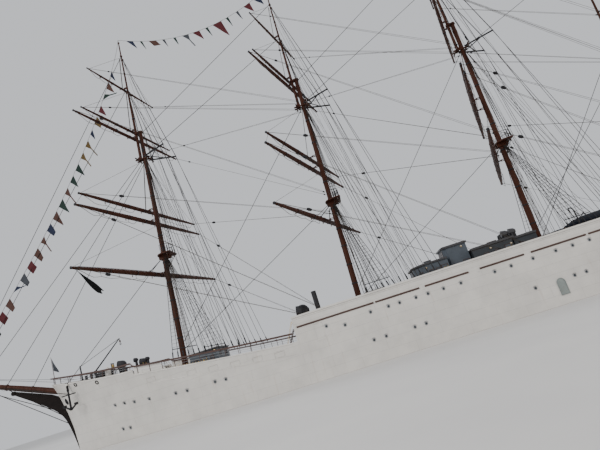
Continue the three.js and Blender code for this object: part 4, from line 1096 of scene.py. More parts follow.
class BARQUE_OT_stays(bpy.types.Operator):
    """Make the upper stays, the gear of the bowsprit and its net"""

    bl_idname = "barque.stays"
    bl_label = "Stays and bowsprit gear"

    def execute(self, context):
        settings = context.scene.barque
        shape = Shape()
        for name, z, ahead, foot in HEAD_STAYS:
            mast = MAST_NAMED[name]
            head = along(mast, z, ahead)
            shape.tube([head, sprit(foot, 0.2)], settings.shroud_radius, 6)
        for name, z, ahead, below, foot, foot_ahead in UPPER_STAYS:
            head = along(MAST_NAMED[name], z, ahead)
            low = along(MAST_NAMED[below], foot + MAST_NAMED[below]["lift"], foot_ahead)
            shape.tube([head, low], settings.shroud_radius, 6)
        piece("upper_stays", shape, "tarred_wire")
        self.bowsprit()
        return {"FINISHED"}

    def bowsprit(self):
        gear = Shape()
        for foot, z in ((55.2, 4.4), (58.9, 3.6), (61.2, 5.2)):
            low = Vector((STEM["x"] + STEM["rake"] * z * z, 0, z))
            gear.tube([low, sprit(foot, -0.28)], 0.045, 6)
        for hand in HANDS:
            rib = at_side(45.4, 7.3, hand)[0]
            for foot in (55.3, 61.0):
                gear.tube([rib, sprit(foot, -0.1, hand * 0.22)], 0.035, 6)
            rail_low = at_side(47.3, edge_at(47.3) - 0.1, hand)[0] + upward(0.4)
            gear.tube([rail_low, sprit(54.0, 1.05, hand * 0.75), sprit(60.8, 0.75, hand * 0.25)], 0.022, 5)
        for x in (51.8, 55.2, 59.0, 61.4):
            r = sprit_radius(x)
            gear.turned(sprit(x - 0.12), (1, 0, BOWSPRIT["slope"]), [(0, r), (0.24, r)], 14, 1)
            gear.hoop(sprit(x, r + 0.06), (0, 1, 0), 0.09, 0.03, 12, 6, 1)
        for i in range(NET_LINES):
            for hand in HANDS:
                low, high = self.net_line(i, hand)
                gear.tube([low, low + Vector((0, hand * 0.35, 0.12)), high], 0.014, 4)
        for hand in HANDS:
            for share, r in ((0.4, 0.016), (1.0, 0.024)):
                lines = [self.net_line(i, hand) for i in range(NET_LINES)]
                gear.tube([low.lerp(high, share) for low, high in lines], r, 4)
        piece("bowsprit_gear", gear, ["tarred_wire", "black_iron"])

    def net_line(self, number, hand):
        """The ends of a line across the net: under the bowsprit, and beside it."""
        x = 50.4 + 1.35 * number
        return sprit(x, -0.62 + 0.03 * number), sprit(x, 0.0, hand * (0.75 - 0.06 * number))


def yard_place(mast, yard):
    """The middle of a yard at rest, and the directions to its port arm, ahead of it and aft."""
    turn = math.radians(mast["brace"])
    z = yard["z"] + mast["lift"]
    arm = Vector((math.sin(turn), math.cos(turn), 0))
    ahead = Vector((math.cos(turn), -math.sin(turn), 0))
    pin = Vector((axis_x(mast, z) + yard["pin"], 0, z))
    return pin + ahead * (YARD_AHEAD - yard["pin"]), arm, ahead


def yard_body(mast, yard):
    return f"{mast['name']}_{yard['name']}_yard"


def yard_radius(yard, share):
    for (a, low), (b, high) in zip(YARD_TAPER, YARD_TAPER[1:]):
        if share <= b:
            return yard["r"] * (low + (high - low) * (share - a) / (b - a))
    return yard["r"] * YARD_TAPER[-1][1]


def sheave_block(shape, at, run, size=0.2, slot=2):
    """A block in line with a rope."""
    run = Vector(run).normalized()
    middle, end = size * 0.8, size * 1.75
    profile = [(0, 0.02), (0.05, size * 0.4), (middle, size * 0.55), (size * 1.6, size * 0.4), (end, 0.02)]
    shape.turned(Vector(at) - run * middle, run, profile, 8, slot)


def aft_neighbour(index):
    return (MASTS + [JIGGER])[index + 1]


class BARQUE_OT_yard_gear(bpy.types.Operator):
    """Make what each yard carries: jackstay, footropes, bands and blocks"""

    bl_idname = "barque.yard_gear"
    bl_label = "Gear on the yards"

    def execute(self, context):
        for mast in MASTS:
            for yard in YARDS:
                shape = Shape()
                place = yard_place(mast, yard)
                self.jackstay(shape, yard, place)
                self.footropes(shape, yard, place)
                self.bands(shape, yard, place)
                name = f"{mast['name']}_{yard['name']}_gear"
                piece(name, shape, ["black_iron", "hemp", "trim_varnish"], yard_body(mast, yard))
        return {"FINISHED"}

    def jackstay(self, shape, yard, place):
        centre, arm, ahead = place
        half = yard["half"]
        for hand in HANDS:
            line = []
            for share in (0.05, 0.25, 0.45, 0.65, 0.8, 0.93):
                top = yard_radius(yard, share) + 0.07
                line.append(centre + arm * hand * half * share + ahead * 0.06 + upward(top))
            shape.tube(line, 0.028, 5, 0)
            count = int(half / 1.3)
            for i in range(count):
                share = 0.07 + 0.84 * i / (count - 1)
                foot = centre + arm * hand * half * share + ahead * 0.06
                r = yard_radius(yard, share)
                shape.tube([foot + upward(r - 0.03), foot + upward(r + 0.08)], 0.03, 4, 0)

    def footropes(self, shape, yard, place):
        centre, arm, ahead = place
        half = yard["half"]
        for hand in HANDS:
            inner, outer = 2.2 / half, 0.94
            count = max(3, int(half / 3.4))
            line = []
            for i in range(count):
                for k in range(5):
                    share = inner + (outer - inner) * (i + k / 5) / count
                    sag = 0.16 * math.sin(math.pi * k / 5)
                    end = min(1.0, 8 * (share - inner), 8 * (outer - share) + 0.15)
                    drop = (0.88 + sag) * end
                    line.append(centre + arm * hand * half * share - ahead * 0.28 * end - upward(drop))
            line.append(centre + arm * hand * half * outer - upward(yard_radius(yard, outer)))
            shape.tube(line, 0.024, 4, 1)
            for i in range(1, count):
                share = inner + (outer - inner) * i / count
                r = yard_radius(yard, share)
                top = centre + arm * hand * half * share - ahead * r * 0.8 + upward(r * 0.5)
                low = centre + arm * hand * half * share - ahead * 0.28 - upward(0.88)
                shape.tube([top, low], 0.02, 4, 1)

    def bands(self, shape, yard, place):
        centre, arm, _ = place
        half = yard["half"]
        for hand in HANDS:
            for share in (0.055, 0.3, 0.62, 0.955):
                r = yard_radius(yard, share)
                at = centre + arm * hand * half * share
                shape.turned(at - arm * 0.06, arm, [(0, r + 0.025), (0.12, r + 0.025)], 12, 0)
            for share in (0.1, 0.36, 0.66):
                r = yard_radius(yard, share)
                at = centre + arm * hand * half * share - upward(r + 0.2)
                shape.tube([at + upward(0.25), at], 0.025, 4, 0)
                sheave_block(shape, at, UP, 0.13)
            tip = centre + arm * hand * (half - 0.05)
            r = yard_radius(yard, 1)
            shape.turned(tip, arm * hand, [(0, r + 0.03), (0.05, r + 0.03), (0.08, r * 0.6)], 12, 0)


def thicken(made, thickness):
    """Give a cloth its thickness, in metres of the model."""
    made.modifiers.new("thickness", "SOLIDIFY").thickness = thickness


def walked(line):
    """The length of a line of points."""
    return sum((b - a).length for a, b in zip(line, line[1:]))


def swayed(name, shape, paints, body, start):
    """A piece that rests on the ship as a whole, not on a body."""
    made = piece(name, shape, paints, body=None)
    tuple(Vector(start) * SCALE)
    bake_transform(made)
    return made


def cut_up(a, b, count):
    return [a.lerp(b, i / count) for i in range(count + 1)]


# The single part of each yard's braces. Columns: its length, and the size of the block that ends it.
PENDANTS = {
    "course": (3.3, 0.34), "lower_topsail": (4.2, 0.34), "upper_topsail": (4.2, 0.34),
    "lower_topgallant": (3.0, 0.24), "upper_topgallant": (3.0, 0.22), "royal": (2.4, 0.18),
}
# How far aft of the mast the lowest braces meet the rail, and how high the mizzen mast's upper ones lead on
# the jigger mast.
RAIL_LEADS = {"course": 16.6, "lower_topsail": 19.0}
JIGGER_LEADS = {"upper_topsail": 18.2, "lower_topgallant": 26.6, "upper_topgallant": 27.0, "royal": 34.0}
# The boom and the gaff at rest: their heels' height and place aft of the jigger mast, length and slope.
BOOM = {"z": 9.9, "aft": 0.66, "length": 12.6, "slope": 0.07, "sheet": 10.4}
GAFF = {"z": 19.2, "aft": 0.58, "length": 9.2, "slope": 0.62}
DERRICK = {"heel": (41.45, 3.0, 9.0), "reach": (-3.9, 0, 3.0), "post": (43.25, 3.0, 10.1)}


class BARQUE_OT_running_rigging(bpy.types.Operator):
    """Make the braces and lifts of the yards and the tackles of the boom and gaff"""

    bl_idname = "barque.running_rigging"
    bl_label = "Braces and lifts"

    def execute(self, context):
        settings = context.scene.barque
        for index, mast in enumerate(MASTS):
            for yard in YARDS:
                self.braces(settings, mast, aft_neighbour(index), yard)
                self.lifts(settings, mast, yard)
            self.yardarm_lines(settings, mast)
        self.spanker(settings)
        self.derrick()
        return {"FINISHED"}

    def lead(self, mast, behind, yard, hand):
        """Where a brace leads."""
        if yard["brace_to"] is None:
            return rail_point(mast["x"] - RAIL_LEADS[yard["name"]], hand) + upward(0.1)
        z = yard["brace_to"] + behind["lift"]
        if behind["name"] == "jigger":
            z = JIGGER_LEADS[yard["name"]]
        y = 0.35 if z > 23 else 0.6
        return along(behind, z, 0.45, hand * y)

    def braces(self, settings, mast, behind, yard):
        centre, arm, ahead = yard_place(mast, yard)
        shape = Shape()
        for hand in HANDS:
            at = centre + arm * hand * (yard["half"] - 0.25) - ahead * yard_radius(yard, 0.98)
            lead = self.lead(mast, behind, yard, hand)
            run = (lead - at).normalized()
            reach, size = PENDANTS[yard["name"]]
            pendant = at + run * reach
            shape.tube([at, pendant], settings.line_radius * 1.5, 5)
            sheave_block(shape, pendant + run * 0.2, run, size, 1)
            side = run.cross(UP).normalized() * 0.07
            for across in (side, -side):
                spread = across * 2.2
                shape.tube(cut_up(pendant + run * 0.4 + across, lead + spread, 8), settings.line_radius, 5)
            sheave_block(shape, lead - run * 0.2, run, 0.17, 1)
        name = f"{mast['name']}_{yard['name']}_braces"
        swayed(name, shape, ["hemp", "black_iron"], yard_body(mast, yard), centre)

    def lifts(self, settings, mast, yard):
        if yard["lift_to"] is None:
            return
        centre, arm, _ = yard_place(mast, yard)
        top_z = yard["lift_to"] + mast["lift"]
        offset = TOPGALLANT_AHEAD if top_z > 36 else 0.0
        shape = Shape()
        for hand in HANDS:
            top = along(mast, top_z, offset + 0.28, hand * 0.14)
            arm_end = centre + arm * hand * (yard["half"] - 0.4) + upward(yard_radius(yard, 0.97))
            shape.tube(cut_up(arm_end, top, 8), settings.line_radius, 5)
        middle = centre + upward(yard["r"])
        if yard["name"] == "course":
            for hand in HANDS:
                top = along(mast, 20.5 + mast["lift"], 0.45, hand * 0.6)
                foot = middle + arm * hand * 1.7
                shape.tube(cut_up(foot, top, 8), 0.055, 6, 1)
                shape.turned(foot - upward(0.1), UP, [(0, 0.1), (0.1, 0.16), (0.25, 0.1)], 8, 1)
        else:
            top = along(mast, top_z, offset + 0.3)
            for across in (Vector((0, 0.06, 0)), Vector((0, -0.06, 0))):
                shape.tube(cut_up(middle + across, top + across, 4), 0.035, 5)
        name = f"{mast['name']}_{yard['name']}_lifts"
        swayed(name, shape, ["hemp", "black_iron"], yard_body(mast, yard), centre)

    def yardarm_lines(self, settings, mast):
        """The line that hangs from each arm of the upper topsail yard to the lower one's."""
        upper, lower = YARDS[2], YARDS[1]
        high, high_arm, _ = yard_place(mast, upper)
        low, low_arm, _ = yard_place(mast, lower)
        shape = Shape()
        for hand in HANDS:
            top = high + high_arm * hand * (upper["half"] - 0.5) - upward(yard_radius(upper, 0.96) * 0.8)
            foot = low + low_arm * hand * (lower["half"] - 0.35) + upward(yard_radius(lower, 0.97) + 0.1)
            shape.tube([top, foot], settings.line_radius, 5)
        piece(f"{mast['name']}_yardarm_lines", shape, "hemp", f"{mast['name']}_upper_topsail_yard")

    def spanker(self, settings):
        foot = along(JIGGER, BOOM["z"], -BOOM["aft"])
        slope = Vector((-1, 0, BOOM["slope"]))
        tip = foot + slope * BOOM["length"]
        shape = Shape()
        for hand in HANDS:
            top = along(JIGGER, 26.4, -0.25, hand * 0.15)
            shape.tube(cut_up(tip + Vector((0.1, hand * 0.1, 0.15)), top, 10), settings.line_radius, 5)
        swayed("spanker_boom_lifts", shape, "hemp", "spanker_boom", tip)
        sheet = Shape()
        sheet_at = foot + slope * BOOM["sheet"] - upward(0.2)
        for hand in HANDS:
            low = Vector((sheet_at.x, hand * 1.4, deck_at(sheet_at.x, 1.4) + 0.15))
            sheet.tube(cut_up(sheet_at, low, 4), settings.line_radius, 5)
            sheave_block(sheet, low + upward(0.12), UP, 0.14, 1)
        sheave_block(sheet, sheet_at, UP, 0.16, 1)
        end = Vector((sheet_at.x, 0, deck_at(sheet_at.x, 1.4) + 0.2))
        swayed("spanker_sheet", sheet, ["hemp", "trim_varnish"], "spanker_boom", sheet_at)
        heel = along(JIGGER, GAFF["z"], -GAFF["aft"])
        peak = heel + Vector((-1, 0, GAFF["slope"])) * GAFF["length"]
        spans = Shape()
        for share in (1.0, 0.55):
            at = heel.lerp(peak, share) + upward(0.15)
            spans.tube(cut_up(at, along(JIGGER, 29.6, -0.28), 8), settings.line_radius, 5)
        swayed("spanker_gaff_spans", spans, "tarred_wire", "spanker_gaff", peak)
        vangs = Shape()
        for hand in HANDS:
            low = rail_point(peak.x + 1.2, hand)
            vangs.tube(cut_up(peak - upward(0.1), low, 10), settings.line_radius, 5)
        swayed("spanker_vangs", vangs, "hemp", "spanker_gaff", peak)

    def derrick(self):
        heel = Vector(DERRICK["heel"])
        head = heel + Vector(DERRICK["reach"])
        post = Vector(DERRICK["post"])
        wire = Shape()
        wire.tube(cut_up(head, post, 10), 0.03, 5)
        swayed("derrick_topping_wire", wire, "tarred_wire", "derrick", head)
        fall = Shape()
        fall.tube([head - upward(0.05), head - upward(0.3)], 0.028, 5)
        sheave_block(fall, head - upward(0.4), UP, 0.2, 1)
        fall.hoop(head - upward(0.72), (0, 1, 0), 0.1, 0.035, 12, 6, 0)
        fall.turned(heel - upward(0.35), UP, [(0, 0.17), (0.12, 0.19), (0.3, 0.19), (0.42, 0.13)], 12)
        piece("derrick_fall", fall, ["black_iron", "trim_varnish"], body="derrick")


# Turned forms, each with its heights along the axis and the radii there.
FIFE_POST = [(0, 0.11), (0.1, 0.11), (0.16, 0.07), (0.5, 0.09), (0.95, 0.06), (1.08, 0.1)]
FIFE_PIN = [(0, 0.025), (0.3, 0.03), (0.34, 0.05), (0.55, 0.04)]
RAIL_PIN = [(0, 0.02), (0.2, 0.028), (0.24, 0.045), (0.45, 0.035)]
TRUCK = [(0, 0.1), (0.05, 0.15), (0.1, 0.1), (0.12, 0.02)]
BELL = [(0, 0.24), (0.04, 0.23), (0.12, 0.17), (0.35, 0.14), (0.45, 0.05), (0.52, 0.03)]
LAMP_SCREEN = [(0, 0.34), (0.9, 0.34), (1.0, 0.3), (1.25, 0.12), (1.3, 0.03)]
COWL_DOME = [(0, 0.84), (0.7, 0.86), (1.15, 0.83), (1.45, 0.72), (1.68, 0.5), (1.8, 0.22), (1.83, 0.02)]
VENT_TRUNK = [(0, 0.42), (0.1, 0.36), (1.0, 0.36), (1.25, 0.3), (1.36, 0.05)]
COMPASS = [
    (0, 0.26), (0.08, 0.26), (0.14, 0.16), (0.85, 0.14),
    (0.95, 0.24), (1.1, 0.24), (1.3, 0.15), (1.38, 0.03),
]
# Iron over the crosstrees' outriggers and their braces. Columns: both ends, aft of the axis and off the
# centreline, and the radius.
OUTRIGGER_IRONS = [((0.14, 0.8), (3.7, 2.48), 0.11), ((0.5, 0.8), (2.3, -1.82), 0.07)]
# Lines that come down behind the masts to the rail. Columns: the height of the head, how far aft of the
# axis and off the centreline it lies, and how far aft of the mast its foot stands.
FALLS = [
    (20.9, 1.1, 0.8, 2.8), (21.0, 0.9, 1.35, 4.7), (35.2, 0.55, 1.2, 6.3), (35.4, 0.55, 1.35, 7.0),
    (46.3, -0.4, 0.1, 6.1), (51.9, -0.45, 0.08, 7.0),
]


class BARQUE_OT_mast_fittings(bpy.types.Operator):
    """Make the halyards, fife rails, mast bands and mastheads' trim"""

    bl_idname = "barque.mast_fittings"
    bl_label = "Mast fittings"

    def execute(self, context):
        settings = context.scene.barque
        for mast in MASTS:
            shape = Shape()
            self.falls(shape, mast, settings)
            self.fife_rail(shape, mast)
            self.bands(shape, mast)
            self.top_rail(shape, mast)
            self.outriggers(shape, mast)
            paints = ["hemp", "black_iron", "trim_varnish", "galvanised"]
            piece(f"{mast['name']}_mast_fittings", shape, paints)
        shape = Shape()
        self.fife_rail(shape, JIGGER)
        for z in (12.0, 18.0, 24.0, 27.0, 29.8):
            self.band(shape, along(JIGGER, z), 0.36 - 0.005 * (z - MAST_FOOT) + 0.03)
        self.trestle(shape)
        paints = ["hemp", "black_iron", "trim_varnish", "galvanised"]
        piece("jigger_mast_fittings", shape, paints)
        return {"FINISHED"}

    def outriggers(self, shape, mast):
        z = OUTRIGGER["z"] - 0.07 + mast["lift"]
        for hand in HANDS:
            for (aft, y), (far_aft, far_y), radius in OUTRIGGER_IRONS:
                ends = [along(mast, z, -aft, hand * y), along(mast, z, -far_aft, hand * far_y)]
                shape.tube(ends, radius, 6, 1)

    def trestle(self, shape):
        at = along(JIGGER, 27.3)
        shape.block(at + Vector((0.1, 0, 0)), (1.6, 0.12, 0.12), 1)
        shape.block(at, (0.12, 2.2, 0.1), 1)

    def falls(self, shape, mast, settings):
        for z, aft, y, foot in FALLS:
            for hand in HANDS:
                head = along(mast, z + mast["lift"], -aft, hand * y)
                low = rail_point(mast["x"] - foot, hand) + Vector((0, -hand * 0.25, 0.05))
                shape.tube([head, low], settings.line_radius, 4, 0)
                sheave_block(shape, head, low - head, 0.15, 2)
        for k in range(6):
            head = along(mast, 19.9 + mast["lift"], -0.62, 0.5 - 0.2 * k)
            low = Vector((axis_x(mast, 8) - 1.05, 0.75 - 0.3 * k, deck_at(mast["x"] - 1, 0) + 1.15))
            shape.tube([head, low], settings.line_radius, 4, 0)

    def top_rail(self, shape, mast):
        """The guard rail round the after half of the top."""
        z = 21.25 + mast["lift"]
        side = [(-0.1, 1.42), (-0.75, 1.36), (-1.2, 0.95)]
        places = side + [(-1.2, 0)] + [(dx, -y) for dx, y in reversed(side)]
        for height, r in ((0.55, 0.02), (1.1, 0.032)):
            line = [along(mast, z, dx, y) + upward(height) for dx, y in places]
            shape.tube(line, r, 5, 1)
        for dx, y in places:
            foot = along(mast, z, dx, y)
            shape.tube([foot, foot + upward(1.1)], 0.026, 5, 1)

    def fife_rail(self, shape, mast):
        base = deck_at(mast["x"], 1.2)
        top = base + 1.12
        x = axis_x(mast, top)
        corners = [(0.9, 1.15), (-1.0, 1.15), (-1.0, -1.15), (0.9, -1.15)]
        line = [Vector((x + dx, dy, top)) for dx, dy in corners]
        for a, b in zip(line, line[1:]):
            middle, run = (a + b) / 2, b - a
            shape.block(middle, (run.length + 0.16, 0.2, 0.09), 2, math.atan2(run.y, run.x))
            count = int(run.length / 0.3)
            for i in range(count):
                at = a.lerp(b, (i + 0.5) / count)
                shape.turned(at - upward(0.3), UP, FIFE_PIN, 6, 3)
        for p in line:
            shape.turned(Vector((p.x, p.y, base - 0.02)), UP, FIFE_POST, 8, 2)

    def band(self, shape, at, r):
        shape.turned(at - upward(0.07), UP, [(0, r), (0.14, r)], 16, 1)

    def bands(self, shape, mast):
        lift = mast["lift"]
        for z in (10.0, 12.5, 15.0, 17.4, 20.2, 24.0, 29.8, 33.2):
            r = 0.4 - 0.13 * (z - MAST_FOOT) / 32.75
            self.band(shape, along(mast, z + lift), r + 0.035)
        for z in (42.0, 44.3, 46.6, 49.5, 52.4):
            r = 0.21 - 0.13 * (z - 35.75) / 19.05
            self.band(shape, along(mast, z + lift, TOPGALLANT_AHEAD), r + 0.03)
        truck = along(mast, TRUCK_Z + lift, TOPGALLANT_AHEAD)
        shape.turned(truck + upward(0.004), UP, TRUCK, 12, 3)


def on_wall(tree, at, direction):
    """Where a look along a direction meets a wall, and which way the wall faces."""
    hit, normal, _, _ = tree.ray_cast(Vector(at) * SCALE, Vector(direction))
    if hit is None:
        raise RuntimeError(f"no wall at {tuple(at)}")
    if normal.dot(Vector(direction)) > 0:
        normal = -normal
    return hit / SCALE, normal


def framed(shape, at, normal, width, height, panes=1, depth=0.05, frame_slot=0, pane_slot=1):
    """A window, or a door with its panel: a frame that stands proud of a wall, round recessed panes."""
    level, up = turned_to(normal)

    def slab(centre, w, h, d, slot):
        corners = []
        for out in (-0.02, d):
            for a, b in ((-0.5, -0.5), (0.5, -0.5), (0.5, 0.5), (-0.5, 0.5)):
                corners.append(centre + level * a * w + up * b * h + normal * out)
        shape.rings([corners[:4], corners[4:]], slot)

    bar = 0.05
    slab(at + up * (height / 2), width + bar * 2, bar, depth, frame_slot)
    slab(at - up * (height / 2), width + bar * 2.6, bar * 1.2, depth * 1.3, frame_slot)
    for k in range(panes + 1):
        offset = -width / 2 + width * k / panes
        slab(at + level * offset, bar, height, depth, frame_slot)
    for k in range(panes):
        offset = -width / 2 + width * (k + 0.5) / panes
        slab(at + level * offset, width / panes - bar * 0.6, height - bar * 0.6, depth * 0.35, pane_slot)


INWARD = (0, -1, 0)
AFTWARD = (-1, 0, 0)
FORWARD = (1, 0, 0)
# Windows of the houses. Columns: the house, the way its wall is looked at, the width, the height, the
# panes, and where each look starts. A look inward is made from both sides.
WINDOWS = [
    ("cabin", AFTWARD, 0.62, 0.5, 1, [(6, 0.0, 7.95), (6, 0.85, 7.95), (6, -0.85, 7.95)]),
    ("cabin", INWARD, 0.55, 0.5, 1, [(-0.55, 9, 7.95), (-1.75, 9, 7.95), (-2.6, 9, 7.95)]),
    ("wheelhouse", AFTWARD, 2.6, 0.72, 4, [(-1, 0, 9.6)]),
    ("aft_house", INWARD, 0.55, 0.45, 1, [(-8.6, 9, 7.9), (-10.0, 9, 7.9)]),
    ("aft_house", INWARD, 0.5, 0.42, 1, [(-13.1, 9, 7.85), (-14.4, 9, 7.85)]),
    ("fore_house", INWARD, 0.5, 0.45, 1, [(26.8, 9, 6.3), (28.9, 9, 6.3)]),
    ("fore_house", FORWARD, 0.5, 0.45, 1, [(24, 1.4, 6.6), (24, -1.4, 6.6)]),
]
# Doors. Columns: the house, where the look starts, and its way.
DOORS = [
    ("cabin", (-3.4, 9, 7.45), INWARD), ("wheelhouse", (-6.3, 9, 7.35), INWARD),
    ("aft_house", (-11.3, 9, 7.45), INWARD), ("fore_house", (27.85, 9, 5.75), INWARD),
    ("aft_house", (-18, 0.9, 7.45), FORWARD),
]
# Small lamps on walls, with the same columns.
LAMPS = [
    ("cabin", (-1.2, 9, 8.55), INWARD), ("wheelhouse", (-6.3, 9, 9.9), INWARD),
    ("aft_house", (-9.3, 9, 8.5), INWARD), ("aft_house", (-11.75, 9, 8.3), INWARD),
    ("fore_house", (26.3, 9, 7.0), INWARD),
]
# The houses' roofs. Columns: the middle, the length and width, and how far the fore corners are cut off.
ROOFS = [
    ((-1.95, 0, 9.12), (4.3, 6.3), 1.25), ((-5.43, 0, 10.4), (3.1, 4.2), 0.12),
    ((-9.65, 0, 9.1), (5.2, 5.8), 0.12), ((-13.65, 0, 8.95), (2.9, 4.8), 0.12),
]
# Hatches on them. Columns: the place, and the size.
ROOF_HATCHES = [(-1.9, 1.4, 9.15, 0.9), (-1.9, -1.4, 9.15, 0.9), (-10.4, 0, 9.13, 1.1)]


class BARQUE_OT_houses(bpy.types.Operator):
    """Make the windows, doors, roofs and lamps of the deck houses"""

    bl_idname = "barque.houses"
    bl_label = "House details"

    def execute(self, context):
        trees = {name: tree_of(name) for name in ("cabin", "wheelhouse", "aft_house", "fore_house")}
        trim = Shape()
        for house, way, width, height, panes, places in WINDOWS:
            for at in places:
                for wall, normal in self.walls(trees[house], at, way):
                    framed(trim, wall, normal, width, height, panes)
        for house, at, way in DOORS:
            for wall, normal in self.walls(trees[house], at, way):
                self.door(trim, wall, normal)
        for house, at, way in LAMPS:
            for wall, normal in self.walls(trees[house], at, way):
                trim.turned(wall - normal * 0.02, normal, [(0, 0.13), (0.06, 0.13), (0.07, 0.1)], 12, 3)
                trim.turned(wall + normal * 0.04, normal, [(0, 0.09), (0.1, 0.08), (0.15, 0.04)], 12, 4)
        paints = ["trim_varnish", "window_glass", "house_trim", "brass", "lamp_glass", "house_paint"]
        piece("house_windows", trim, paints)
        self.roofs()
        return {"FINISHED"}

    def walls(self, tree, at, way):
        """Where a look meets a wall, and the normal there. A look inward is made from both sides."""
        for hand in HANDS if way == INWARD else HANDS[:1]:
            yield on_wall(tree, (at[0], at[1] * hand, at[2]), (way[0], way[1] * hand, way[2]))

    def door(self, shape, at, normal):
        level, up = turned_to(normal)
        framed(shape, at, normal, 0.72, 1.75, 1, 0.05, 0, 5)
        shape.hoop(at + up * 0.45 + normal * 0.03, normal, 0.13, 0.03, 14, 6, 3)
        shape.turned(at + up * 0.45, normal, [(0, 0.12), (0.035, 0.12)], 14, 1)
        knob = at - level * 0.26 - up * 0.1 + normal * 0.02
        shape.turned(knob, normal, [(0, 0.02), (0.06, 0.02), (0.07, 0.045), (0.11, 0.03)], 8, 3)
        for z in (-0.6, 0.6):
            hinge = at + level * 0.34 + up * z + normal * 0.05
            shape.tube([hinge - up * 0.08, hinge + up * 0.08], 0.025, 6, 3)

    def roofs(self):
        """Coverings of the roofs, with a rolled edge and hatches."""
        shape = Shape()
        for (x, y, z), (length, width), chamfer in ROOFS:
            a, b = length / 2 - 0.1, width / 2 - 0.1
            nose = a - min(chamfer, 0.9)
            ring = [(a, b - chamfer), (nose, b), (-a, b), (-a, -b), (nose, -b), (a, chamfer - b)]
            low = [Vector((x + dx, y + dy, z - 0.01)) for dx, dy in ring]
            high = [Vector((x + dx * 0.985, y + dy * 0.985, z + 0.035)) for dx, dy in ring]
            shape.rings([low, high], 0)
            shape.tube([p + upward(0.03) for p in low], 0.035, 6, 0, closed=True)
        for x, y, z, size in ROOF_HATCHES:
            shape.block((x, y, z + 0.13), (size, size * 0.8, 0.28), 1, 0, 0.92)
            shape.block((x, y, z + 0.3), (size * 1.02, size * 0.84, 0.06), 2)
        paints = ["roof_paint", "house_paint", "trim_varnish"]
        piece("house_roofs", shape, paints)


HATCH = {"x": 22.5, "top": 5.079}
SKYLIGHT_X = -29.5
LIFEBUOYS = (12.0, -10.0, -29.0, -40.5)
COMPASS_X = -38.9
GRATING_X = -42.3
CATHEAD = {"x": 44.9, "y": 3.8}
# Coiled hawsers on the forecastle. Columns: the place, and the radius.
COILS = [(45.0, 0.9, 0.45), (45.0, -0.9, 0.45), (38.0, 0.9, 0.5)]
# Mushroom ventilators on the poop. Columns: the place, and the height.
MUSHROOMS = [(13.6, 3.4, 1.4), (13.6, -3.4, 1.4), (-19.3, 2.2, 1.2), (-19.3, -2.2, 1.2)]


